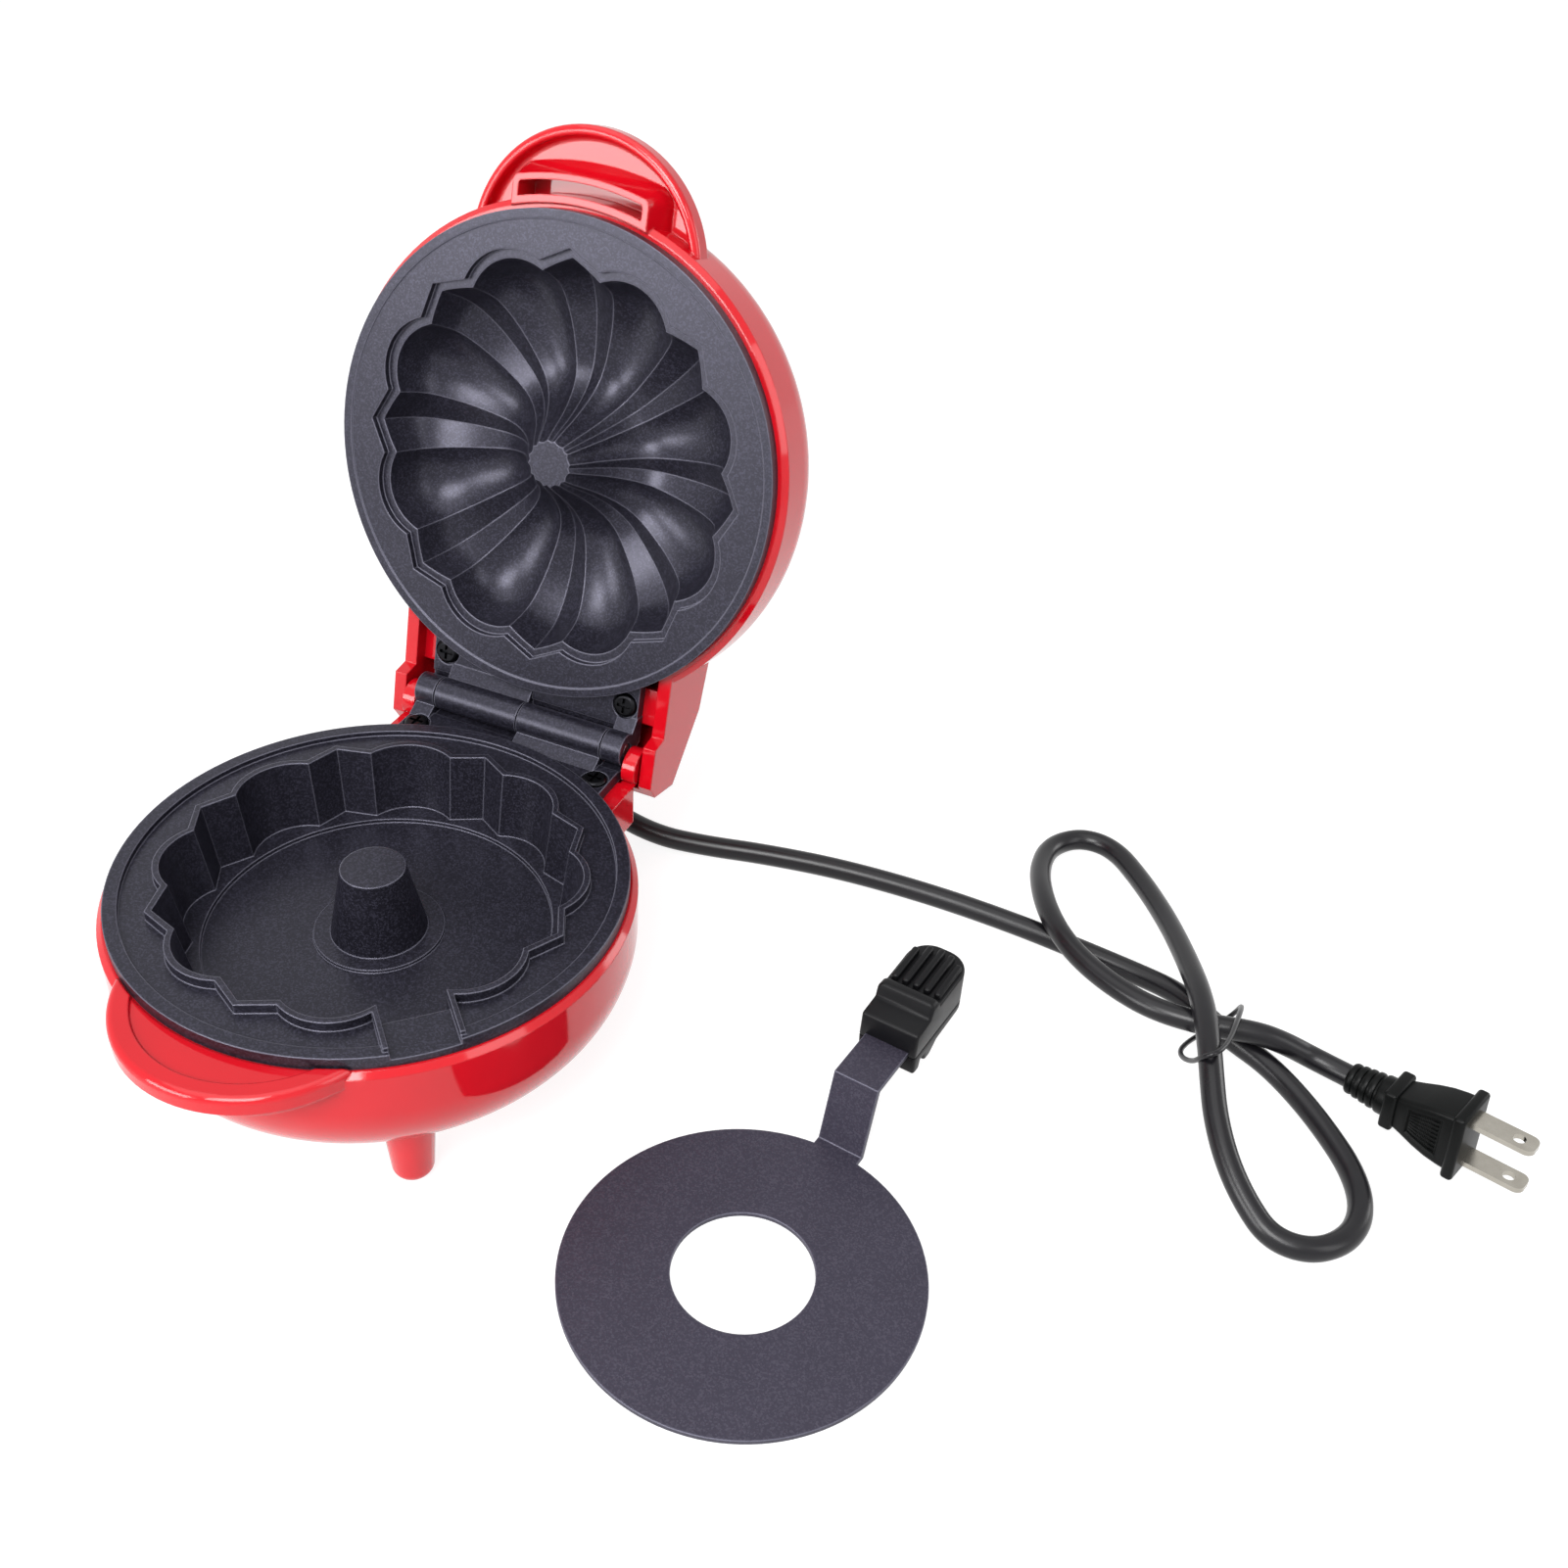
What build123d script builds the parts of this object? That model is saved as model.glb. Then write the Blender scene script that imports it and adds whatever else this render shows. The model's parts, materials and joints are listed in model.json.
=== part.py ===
from build123d import *
import math
import os

# Mini ring-cake maker with its lifting tool, cord and plug, lid open as it stands in use.
# Millimetres. Floor at Z = 0, plates' axis on Z, hinge at the back (+Y), hand lip at the front (-Y).
# Lid pieces are drawn shut and swung open about the hinge at the end.

# Plates
rim_z = 52.0
plate_r = 64.0
plate_clear = 0.5
plate_gap = 2.0
rim_w = 3.5
ring_drop = 1.5
flange_t = 3.6
lip_h = 2.7
lip_w = 1.7
cavity_depth = 19.2
floor_t = 3.3
wall_t = 3.0
wall_draft = 3.0
flute_count = 8
v_half = 9.8
tip_r = 52.6
corner_r = 48.8
lobe_r = 52.5
seat_r = 43.9
sheet_t = 1.2
boss_r = 16.5
boss_h = 0.9
post_base_r = 12.4
post_top_r = 8.1
post_rise = 1.4
post_wall = 3.0

# Lifter gate in the lower plate
gate_angle = 315.0
gate_half = 8.0
sill_r = 52.3
fin_t = 1.3

# Upper plate
recess_clear = 0.9
recess_h = 2.4
crown_h = 20.5
crown_t = 3.3
back_wall = 2.2
back_rise = 1.8
hub_core_r = 4.4
petal_over = 0.05
petal_tolerance = 0.01
round_columns = 9
pointed_columns = 5
petal_cut = 26.0
edge_line_r = 61.6
edge_line_t = 0.4
hook_half = 7.0
hook_t = 1.6

# Hinge
hinge_y = 72.8
hinge_z = rim_z + plate_gap
open_angle = 104.0
knuckle_r = 4.6
knuckle_gap = 0.4
short_knuckle = 6.0
long_knuckle = 26.4
pin_r = 2.0
pin_clear = 0.03
lug_half = 32.6
lug_t = 3.4
lug_y = 68.4
lug_inner_y = 50.0
lug_inset = 0.2
lug_tail_y = 73.0
lug_tail_gap = 0.4
lug_screw_x = 28.5
lug_screw_y = 62.0

# Shells
shell_t = 2.5
base_r = 66.0
base_floor_z = 11.0
base_bend_r = 25.0
land_w = 5.5
land_r = base_r - land_w
land_edge = 1.4
lid_over = 0.5
lid_r = base_r + lid_over
lid_side_h = 12.0
lid_height = 44.4
lid_mid_in = 9.0
lid_mid_r = lid_r - lid_mid_in
lid_mid_h = 26.4
foot_x = 34.0
foot_y = -40.0
rear_foot_x = 28.0
rear_foot_y = 57.0
foot_r = 5.0
foot_top_r = 6.6
foot_round = 3.4
foot_in = 7.0
lip_r = 34.8
lip_in = 22.2
lip_over = 1.1
lip_edge_h = 4.6
lip_under = 24.0
lip_under_taper = 42.0
lip_round = 1.7
lip_edge_round = 0.3
dish_inset = 5.2
dish_depth = 0.7
dish_round = 0.3
tab_r = 33.0
tab_in = 15.1
tab_set = 3.6
tab_t = 6.6
tab_wall = 2.6
tab_pocket = 4.0
tab_round = 1.5
tab_edge_round = 0.9
loop_out = 5.9
loop_half = 19.2
loop_over = 0.8
loop_flare = 19.0
loop_wall = 1.7
loop_round = 2.0
slot_gap = 0.7
ear_t = 4.0
ear_r = 5.4
ear_back = 0.6
ear_drop = 5.0
ear_reach = 8.2
ear_gap = 0.8
housing_reach = 1.9
housing_y = base_r + housing_reach
housing_low_z = 34.0
housing_wall = 3.8
housing_clear = 0.6
housing_back_y = 85.5
housing_bottom_z = 53.0
housing_top_z = 68.0
housing_roof_y = 66.0
housing_roof_z = 80.0
housing_inner_y = 40.0
housing_inner_z = 84.0
housing_chamfer = 3.6

# Fasteners
screw_r = 1.5
screw_clear = 0.2
thread_clear = 0.05
head_r = 3.4
head_h = 1.7
head_round = 1.0
head_pocket = 0.4
cross_w = 0.9
cross_l = 4.2
cross_d = 0.9
lug_screw_len = 13.0
clamp_screw_len = 5.5

# Heating parts
heater_r = 30.0
heater_tube_r = 3.25
heater_sink = 1.25
heater_gap_angle = 60.0
heater_pin_r = 1.2
heater_pin_len = 5.0
upper_heater_r = 25.0
clamp_boss_in = 10.0
clamp_boss_r = 3.5
clamp_w = 8.0
clamp_t = 1.2
clamp_tail = 10.0
clamp_over = 1.8
clamp_angles = (30.0, 150.0, 270.0)
thermostat_y = 15.0
thermostat_r = 8.0
thermostat_h = 8.5
thermostat_tab = (5.0, 6.0, 0.8)
fuse_y = -13.0
fuse_len = 24.0
shield_r = 33.0
shield_t = 0.6
shield_post_r = 3.0
shield_post_h = 3.5
shield_post_ring = 29.0
block_size = (20.0, 10.0, 8.0)
block_in = 22.0
block_y = base_r - block_in
block_pad_h = 3.5
lead_r = 1.2
lead_x = 4.5
lead_in_x = 2.2
lead_rise = 1.5
lead_bend_r = 2.0
base_screw_x = 28.3
base_screw_y = -28.3
base_boss_r = 4.0
base_boss_drop = 3.5
base_screw_len = 14.0

# Lifting tool
lifter_x = 119.2
lifter_y = -32.7
lifter_angle = 82.2
blade_r = 43.4
blade_hole_r = 17.0
strip_w = 12.4
riser_r = 45.2
riser_lean = 5.2
strip_end_r = 82.0
grip_w = 16.3
grip_front_r = 66.0
grip_len = 31.0
grip_len_flat = 17.5
grip_tread_run = 7.5
grip_ridge_run = 10.5
grip_front_h = 7.5
grip_tread_h = 7.8
grip_ridge_h = 11.2
grip_pad_h = 10.4
grip_pad_rear_h = 11.6
grip_rear_h = 8.0
grip_under_h = 6.0
grip_under_run = 10.0
grip_edge = 2.0
grip_round = 7.0
strip_lift = 0.3
slot_clear = 0.2
grip_bend = 0.8
groove_count = 4
groove_w = 1.2
groove_d = 2.6
groove_pitch = 2.7
prong_w = 2.6
prong_h = 1.5
prong_out = 5.2
grip_screw_r = 88.0
grip_screw_len = 8.0
grip_screw_seat = 1.4

# Cord and plug
cord_r = 3.15
cord_bend_share = 0.45
cord_samples = 640
cord_apart = 26
bush_z = 18.0
bush_r = 4.5
bush_flange_r = 6.6
bush_flange_t = 2.0
bush_out = 7.0
bush_in = 14.9
bush_in_y = housing_y - bush_in
bush_root_r = 5.4
bush_taper = 14.0
boss_half = 8.0
plug_face = (270.0, 78.6, 10.6)
plug_turn = -20.0
plug_tilt = 6.0
plug_lead = 10.0
plug_tail_r = 4.3
plug_tail_len = 11.5
plug_root_r = 5.3
plug_rib_d = 0.6
plug_rib_w = 1.2
plug_rib_pitch = 2.1
plug_rib_count = 4
plug_rear = (12.0, 11.6, 3.6)
plug_neck = (9.8, 9.6)
plug_body_len = 15.0
plug_chest = (16.0, 11.8)
plug_front_h = 20.5
plug_front_w = 15.0
plug_front_t = 3.2
plug_corner = 1.2
blade_len = 15.5
blade_w = 6.3
blade_t = 1.5
blade_pitch = 12.7
blade_eye_r = 1.6
blade_eye_at = 11.0
blade_root = 5.0
blade_round = 2.2
tie_r = 0.7
tie_x = 202.3
tie_y = 76.0
tie_dir = (0.64, 0.77, 0.0)
tie_bend = 3.0
tie_samples = 90

# Levels worked out from the sizes above
ring_z = rim_z - ring_drop
flange_z = rim_z - flange_t
lip_z = ring_z + lip_h
seat_z = rim_z - cavity_depth
pad_z = seat_z + sheet_t
pan_z = seat_z - floor_t
up_z = rim_z + plate_gap
up_flange_z = up_z + flange_t
crown_z = up_z + crown_h + crown_t
lug_top = hinge_z - knuckle_r + lug_inset
lug_bottom = lug_top - lug_t
lug_tail_t = hinge_z - knuckle_r - lug_tail_gap - lug_bottom
up_lug_low = hinge_z + knuckle_r - lug_inset
up_lug_top = up_lug_low + lug_t
pitch = 360.0 / flute_count
ear_x = lug_half + ear_gap
housing_x = ear_x + ear_t + housing_clear
base_bend_z = base_floor_z + base_bend_r
base_flat_r = base_r - base_bend_r
inner_floor_z = base_floor_z + shell_t
heater_z = pan_z - heater_tube_r + heater_sink
clamp_z = heater_z - heater_tube_r
upper_heater_z = crown_z + heater_tube_r - heater_sink
upper_clamp_z = upper_heater_z + heater_tube_r
shield_z = inner_floor_z + shield_post_h
block_z = inner_floor_z + block_pad_h
hinge_axis = Axis((0, hinge_y, hinge_z), (1, 0, 0))


def polar(radius, angle):
    return (radius * math.cos(math.radians(angle)), radius * math.sin(math.radians(angle)))


def flute_face(z, grow):
    # Fluted outline of the cake: pointed lobes on every pitch, round lobes between them.
    with BuildSketch(Plane.XY.offset(z)) as face:
        with BuildLine():
            for k in range(flute_count):
                at = k * pitch
                start = polar(corner_r + grow, at - v_half)
                turn = polar(corner_r + grow, at + v_half)
                Polyline(start, polar(tip_r + grow, at), turn)
                ThreePointArc(
                    turn,
                    polar(lobe_r + grow, at + pitch / 2),
                    polar(corner_r + grow, at + pitch - v_half),
                )
        make_face()
    return face.sketch


def petal_face(first, last, swell, columns):
    # One lobe of the cake's top between two angles: the petal line, swollen out square to itself.
    rows = []
    for k, (share, climb) in enumerate(petal_line):
        before = petal_line[max(k - 1, 0)]
        after = petal_line[min(k + 1, len(petal_line) - 1)]
        run = (after[0] - before[0]) * corner_r
        rise = (after[1] - before[1]) * crown_h
        length = math.hypot(run, rise)
        row = []
        for column in range(columns):
            angle = first + (last - first) * column / (columns - 1)
            grow = swell(angle) * share
            out = polar(share * corner_r + grow * rise / length, angle)
            row.append(Vector(*out, up_z + climb * crown_h - grow * run / length))
        rows.append(row)
    return Face.make_surface_from_array_of_points(rows, tol=petal_tolerance)


def round_swell(angle):
    return (lobe_r - corner_r) * (1 - (angle / lobe_half) ** 2)


def pointed_swell(angle):
    return (tip_r - corner_r) * (1 - angle / v_half)


def screw(length):
    # Pan-head cross screw, head's underside on the XY plane, shank down.
    with BuildPart() as piece:
        with BuildSketch():
            Circle(head_r)
        extrude(amount=head_h)
        fillet(piece.edges().group_by(Axis.Z)[-1], head_round)
        with BuildSketch():
            Circle(screw_r)
        extrude(amount=-length)
        with BuildSketch(Plane.XY.offset(head_h)):
            Rectangle(cross_l, cross_w)
            Rectangle(cross_w, cross_l)
        extrude(amount=-cross_d, mode=Mode.SUBTRACT)
    return piece.part


def ring_heater(radius, z):
    # Sheathed element bent into an open ring, its ends towards the hinge.
    half = heater_gap_angle / 2
    with BuildPart() as piece:
        with BuildLine():
            CenterArc((0, 0, z), radius, 90 + half, 360 - heater_gap_angle)
        with BuildSketch(Plane((*polar(radius, 90 + half), z), z_dir=(*polar(1, 180 + half), 0))):
            Circle(heater_tube_r)
        sweep()
    return piece.part


def heater_pins(radius, z):
    half = heater_gap_angle / 2
    with BuildPart() as piece:
        for side in (-1, 1):
            end = polar(radius, 90 + side * half)
            along = polar(1, 90 + side * half - side * 90)
            with BuildSketch(Plane((*end, z), z_dir=(*along, 0))):
                Circle(heater_pin_r)
            extrude(amount=heater_pin_len)
    return piece.part


def heater_clamps(radius, z, up):
    # Flat straps under the element, each held by one screw at a boss inside the ring.
    inner = clamp_boss_in + clamp_tail
    outer = heater_tube_r + clamp_over
    with BuildPart() as piece:
        for angle in clamp_angles:
            plane = Plane((0, 0, z), x_dir=(*polar(1, angle), 0), z_dir=(0, 0, 1))
            with BuildSketch(plane):
                with Locations((radius + (outer - inner) / 2, 0)):
                    Rectangle(inner + outer, clamp_w)
                with Locations((radius - clamp_boss_in, 0)):
                    Circle(screw_r + screw_clear, mode=Mode.SUBTRACT)
            extrude(amount=up * clamp_t)
    return piece.part


def clamp_screws(radius, z, up):
    one = screw(clamp_screw_len)
    with BuildPart() as piece:
        for angle in clamp_angles:
            at = polar(radius - clamp_boss_in, angle)
            with Locations(Plane((*at, z), z_dir=(0, 0, up))):
                add(one)
    return piece.part


# Lower plate
gate_plane = Plane((0, 0, 0), x_dir=(*polar(1, gate_angle), 0), z_dir=(0, 0, 1))
plate_mid = plate_r / 2
lower_knuckles = (
    (-long_knuckle - knuckle_gap - short_knuckle, short_knuckle),
    (knuckle_gap / 2, long_knuckle - knuckle_gap / 2),
)
upper_knuckles = (
    (-long_knuckle, long_knuckle - knuckle_gap / 2),
    (long_knuckle + knuckle_gap, short_knuckle),
)
web_back = hinge_y + knuckle_r / 2
web_reach = lug_y - lug_t

with BuildPart() as lower_plate:
    with BuildSketch(Plane.XY.offset(flange_z)):
        Circle(plate_r)
    extrude(amount=flange_t)
    with BuildSketch(Plane.XY.offset(ring_z)):
        Circle(plate_r - rim_w)
    extrude(amount=ring_drop, mode=Mode.SUBTRACT)
    add(flute_face(ring_z, lip_w))
    extrude(amount=lip_h)
    loft([flute_face(ring_z, wall_t), flute_face(pan_z, wall_t - wall_draft)], ruled=True)
    with BuildSketch(gate_plane.offset(pan_z)):
        with Locations(((sill_r + wall_t) / 2 + plate_mid / 2, 0)):
            Rectangle(sill_r + wall_t - plate_mid, 2 * (gate_half + wall_t))
    extrude(amount=ring_z - pan_z)
    loft([flute_face(lip_z, 0), flute_face(pad_z, -wall_draft)], ruled=True, mode=Mode.SUBTRACT)
    with BuildSketch(gate_plane.offset(lip_z)) as gate_mouth:
        with Locations(((sill_r + plate_mid) / 2, 0)):
            Rectangle(sill_r - plate_mid, 2 * gate_half)
    with BuildSketch(gate_plane.offset(pad_z)) as gate_foot:
        with Locations(((sill_r - wall_draft + plate_mid) / 2, 0)):
            Rectangle(sill_r - wall_draft - plate_mid, 2 * gate_half - sheet_t)
    loft([gate_mouth.sketch, gate_foot.sketch], ruled=True, mode=Mode.SUBTRACT)
    with BuildSketch(gate_plane.offset(ring_z)):
        with Locations((plate_r, 0)):
            Rectangle(2 * (plate_r - plate_mid), 2 * gate_half)
    extrude(amount=lip_h, mode=Mode.SUBTRACT)
    with BuildSketch(gate_plane.offset(ring_z)):
        for side in (-1, 1):
            with Locations(((plate_r + corner_r) / 2 - rim_w / 4, side * (gate_half + fin_t / 2))):
                Rectangle(plate_r - corner_r - rim_w / 2, fin_t)
    extrude(amount=lip_h)
    with BuildSketch(Plane.XY.offset(seat_z)):
        Circle(seat_r)
    extrude(amount=sheet_t, mode=Mode.SUBTRACT)
    with BuildSketch(Plane.XY.offset(seat_z)):
        Circle(boss_r)
    extrude(amount=boss_h)
    with BuildSketch(Plane.XZ):
        Polygon(
            (0, seat_z),
            (post_base_r, seat_z),
            (post_top_r, rim_z + post_rise),
            (0, rim_z + post_rise),
            align=None,
        )
    revolve(axis=Axis.Z)
    with BuildSketch(Plane.XZ):
        Polygon(
            (0, pan_z),
            (post_base_r - post_wall, pan_z),
            (post_top_r - post_wall, rim_z + post_rise - post_wall),
            (0, rim_z + post_rise - post_wall),
            align=None,
        )
    revolve(axis=Axis.Z, mode=Mode.SUBTRACT)
    with BuildSketch(Plane.XY.offset(lug_bottom)):
        with Locations((0, (lug_inner_y + lug_y) / 2)):
            Rectangle(2 * lug_half, lug_y - lug_inner_y)
        Circle(tip_r + wall_t / 2, mode=Mode.SUBTRACT)
    extrude(amount=lug_t)
    with BuildSketch(Plane.XY.offset(lug_bottom)):
        with Locations((0, (lug_inner_y + lug_tail_y) / 2)):
            Rectangle(2 * lug_half, lug_tail_y - lug_inner_y)
        Circle(plate_r - rim_w, mode=Mode.SUBTRACT)
    extrude(amount=lug_tail_t)
    for start, length in lower_knuckles:
        with BuildSketch(Plane.YZ.offset(start)):
            with Locations((hinge_y, hinge_z)):
                Circle(knuckle_r)
            Polygon(
                (web_reach, lug_bottom),
                (hinge_y, lug_bottom + lug_inset),
                (web_back, hinge_z - knuckle_r / 2),
                (hinge_y, hinge_z),
                (web_reach, lug_top),
                align=None,
            )
        extrude(amount=length)
    with BuildSketch(Plane.YZ.offset(-lug_half)):
        with Locations((hinge_y, hinge_z)):
            Circle(pin_r + pin_clear)
    extrude(amount=2 * lug_half + short_knuckle, both=True, mode=Mode.SUBTRACT)
    with Locations((-lug_screw_x, lug_screw_y, lug_top), (lug_screw_x, lug_screw_y, lug_top)):
        CounterBoreHole(screw_r + screw_clear, head_r + head_pocket, head_h / 2)
    with BuildSketch(Plane.XY.offset(pan_z)):
        for angle in clamp_angles:
            with Locations(polar(heater_r - clamp_boss_in, angle)):
                Circle(clamp_boss_r)
    extrude(amount=clamp_z - pan_z)
    with BuildSketch(Plane.XY.offset(pan_z)):
        with Locations((-base_screw_x, base_screw_y), (base_screw_x, base_screw_y)):
            Circle(base_boss_r)
    extrude(amount=-base_boss_drop)
    with BuildSketch(Plane.XY.offset(clamp_z)):
        for angle in clamp_angles:
            with Locations(polar(heater_r - clamp_boss_in, angle)):
                Circle(screw_r + thread_clear)
    extrude(amount=clamp_screw_len, mode=Mode.SUBTRACT)
    with BuildSketch(Plane.XY.offset(pan_z - base_boss_drop)):
        with Locations((-base_screw_x, base_screw_y), (base_screw_x, base_screw_y)):
            Circle(screw_r + thread_clear)
    extrude(amount=base_boss_drop + floor_t / 2, mode=Mode.SUBTRACT)
    with BuildSketch(Plane.XZ):
        with Locations((heater_r, heater_z)):
            Circle(heater_tube_r)
    revolve(axis=Axis.Z, mode=Mode.SUBTRACT)

# Upper plate, drawn shut
back_steps = ((0.0, 0.6), (8.0, -1.6), (14.0, -6.5), (18.2, -14.5), (crown_h, -24.0))
petal_line = (
    (1.014, -0.05), (1.01, 0.0), (0.992, 0.195), (0.961, 0.39), (0.91, 0.575), (0.84, 0.693),
    (0.748, 0.79), (0.635, 0.859), (0.523, 0.888), (0.43, 0.849), (0.355, 0.741), (0.287, 0.58),
    (0.23, 0.4), (0.18, 0.205), (0.137, 0.049), (0.123, 0.0), (0.111, -0.05),
)
lobe_half = pitch / 2 - v_half
round_face = petal_face(-lobe_half - petal_over, lobe_half + petal_over, round_swell, round_columns)
pointed_face = petal_face(-petal_over, v_half + petal_over, pointed_swell, pointed_columns)
round_cut = extrude(round_face, amount=petal_cut, dir=(0, 0, -1))
pointed_cut = extrude(pointed_face, amount=petal_cut, dir=(0, 0, -1))
upper_web_low = hinge_z + knuckle_r / 2

with BuildPart() as upper_plate:
    with BuildSketch(Plane.XY.offset(up_z)):
        Circle(plate_r)
    extrude(amount=flange_t)
    with BuildSketch(Plane.XY.offset(up_z)):
        Circle(edge_line_r)
    extrude(amount=edge_line_t, mode=Mode.SUBTRACT)
    with BuildSketch(Plane.XZ):
        Polygon(
            (0, up_z + edge_line_t),
            (tip_r, up_z + edge_line_t),
            *[(tip_r + grow + back_wall, up_z + rise + back_rise) for rise, grow in back_steps],
            (upper_heater_r + heater_tube_r, crown_z),
            (0, crown_z),
            align=None,
        )
    revolve(axis=Axis.Z)
    with BuildSketch(Plane.XY.offset(up_z)):
        add(flute_face(0, lip_w + recess_clear))
        Circle(corner_r / 2, mode=Mode.SUBTRACT)
    extrude(amount=recess_h, mode=Mode.SUBTRACT)
    with PolarLocations(0, flute_count, start_angle=pitch / 2):
        add(round_cut, mode=Mode.SUBTRACT)
    with PolarLocations(0, flute_count):
        add(pointed_cut, mode=Mode.SUBTRACT)
        add(mirror(pointed_cut, about=Plane.XZ, mode=Mode.PRIVATE), mode=Mode.SUBTRACT)
    with BuildSketch(Plane.XZ):
        Polygon(
            (0, up_z + post_wall),
            (hub_core_r, up_z + post_wall),
            (post_base_r + wall_t, crown_z),
            (0, crown_z),
            align=None,
        )
    revolve(axis=Axis.Z, mode=Mode.SUBTRACT)
    with BuildSketch(Plane.XY.offset(up_lug_low)):
        with Locations((0, (lug_inner_y + lug_y) / 2)):
            Rectangle(2 * lug_half, lug_y - lug_inner_y)
        Circle(tip_r + wall_t / 2, mode=Mode.SUBTRACT)
    extrude(amount=lug_t)
    with BuildSketch(Plane.XY.offset(up_lug_top)):
        with Locations((0, (lug_inner_y + lug_tail_y) / 2)):
            Rectangle(2 * lug_half, lug_tail_y - lug_inner_y)
        Circle(plate_r - rim_w, mode=Mode.SUBTRACT)
    extrude(amount=-lug_tail_t)
    with BuildSketch(Plane.XY.offset(up_flange_z)):
        with Locations((0, (tip_r + plate_r) / 2)):
            Rectangle(2 * lug_half, plate_r - tip_r)
        Circle(plate_r - rim_w, mode=Mode.INTERSECT)
    extrude(amount=up_lug_top - up_flange_z)
    for start, length in upper_knuckles:
        with BuildSketch(Plane.YZ.offset(start)):
            with Locations((hinge_y, hinge_z)):
                Circle(knuckle_r)
            Polygon(
                (web_reach, up_lug_top),
                (hinge_y, up_lug_top - lug_inset),
                (web_back, upper_web_low),
                (hinge_y, hinge_z),
                (web_reach, up_lug_low),
                align=None,
            )
        extrude(amount=length)
    with BuildSketch(Plane.YZ.offset(-lug_half)):
        with Locations((hinge_y, hinge_z)):
            Circle(pin_r + pin_clear)
    extrude(amount=2 * lug_half + short_knuckle, both=True, mode=Mode.SUBTRACT)
    with Locations(
        Plane((-lug_screw_x, lug_screw_y, up_lug_low), z_dir=(0, 0, -1)),
        Plane((lug_screw_x, lug_screw_y, up_lug_low), z_dir=(0, 0, -1)),
    ):
        CounterBoreHole(screw_r + screw_clear, head_r + head_pocket, head_h / 2)
    with BuildSketch(Plane.YZ.offset(-hook_half)):
        Polygon(
            (hook_t - land_r + hook_t, up_flange_z),
            (hook_t / 4 - land_r, up_flange_z),
            (hook_t / 4 - land_r, up_flange_z + shell_t + hook_t / 4),
            (-land_r - hook_t, up_flange_z + shell_t + hook_t / 4),
            (-land_r - hook_t, up_flange_z + shell_t + hook_t),
            (hook_t - land_r + hook_t, up_flange_z + shell_t + hook_t),
            align=None,
        )
    extrude(amount=2 * hook_half)
    with BuildSketch(Plane.XY.offset(crown_z)):
        for angle in clamp_angles:
            with Locations(polar(upper_heater_r - clamp_boss_in, angle)):
                Circle(clamp_boss_r)
    extrude(amount=upper_clamp_z - crown_z)
    with BuildSketch(Plane.XY.offset(upper_clamp_z)):
        for angle in clamp_angles:
            with Locations(polar(upper_heater_r - clamp_boss_in, angle)):
                Circle(screw_r + thread_clear)
    extrude(amount=-clamp_screw_len, mode=Mode.SUBTRACT)
    with BuildSketch(Plane.XZ):
        with Locations((upper_heater_r, upper_heater_z)):
            Circle(heater_tube_r)
    revolve(axis=Axis.Z, mode=Mode.SUBTRACT)

# Hinge pin, held between the base's ears
with BuildPart() as hinge_pin:
    with BuildSketch(Plane.YZ.offset(-lug_half)):
        with Locations((hinge_y, hinge_z)):
            Circle(pin_r)
    extrude(amount=2 * lug_half)
    chamfer(hinge_pin.edges().filter_by(GeomType.CIRCLE), pin_r / 4)

# Base shell
base_mid = math.sqrt(0.5)
foot_top = inner_floor_z + foot_in
rear_foot_top = housing_low_z - shell_t
lip_z_top = flange_z + lip_over
lip_y = lip_in - base_r
ear_y = hinge_y + ear_back
ear_z = hinge_z - ear_drop
screw_block_in = lug_screw_x - base_boss_r - head_pocket
column_top = pan_z - base_boss_drop
base_head_z = base_floor_z + 2 * shell_t
inner_bend_r = base_bend_r - shell_t

with BuildPart() as front_lip:
    with BuildSketch(Plane.XY.offset(lip_z_top)):
        with Locations((0, lip_y)):
            Circle(lip_r)
    extrude(amount=-lip_edge_h)
    with BuildSketch(Plane.XY.offset(lip_z_top - lip_edge_h)):
        with Locations((0, lip_y)):
            Circle(lip_r)
    extrude(amount=-lip_under, taper=lip_under_taper)
    fillet(front_lip.edges().group_by(Axis.Z)[-1], lip_round)
    with BuildSketch(Plane.XY.offset(lip_z_top)):
        with Locations((0, lip_y)):
            Circle(lip_r - dish_inset)
    extrude(amount=-dish_depth, mode=Mode.SUBTRACT)
    fillet(front_lip.faces().sort_by(Axis.Z)[-1].inner_wires()[0].edges(), lip_edge_round)
    dish_floor = front_lip.faces().filter_by(Plane.XY).sort_by(Axis.Z)[-2]
    fillet(dish_floor.edges(), dish_round)

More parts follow.
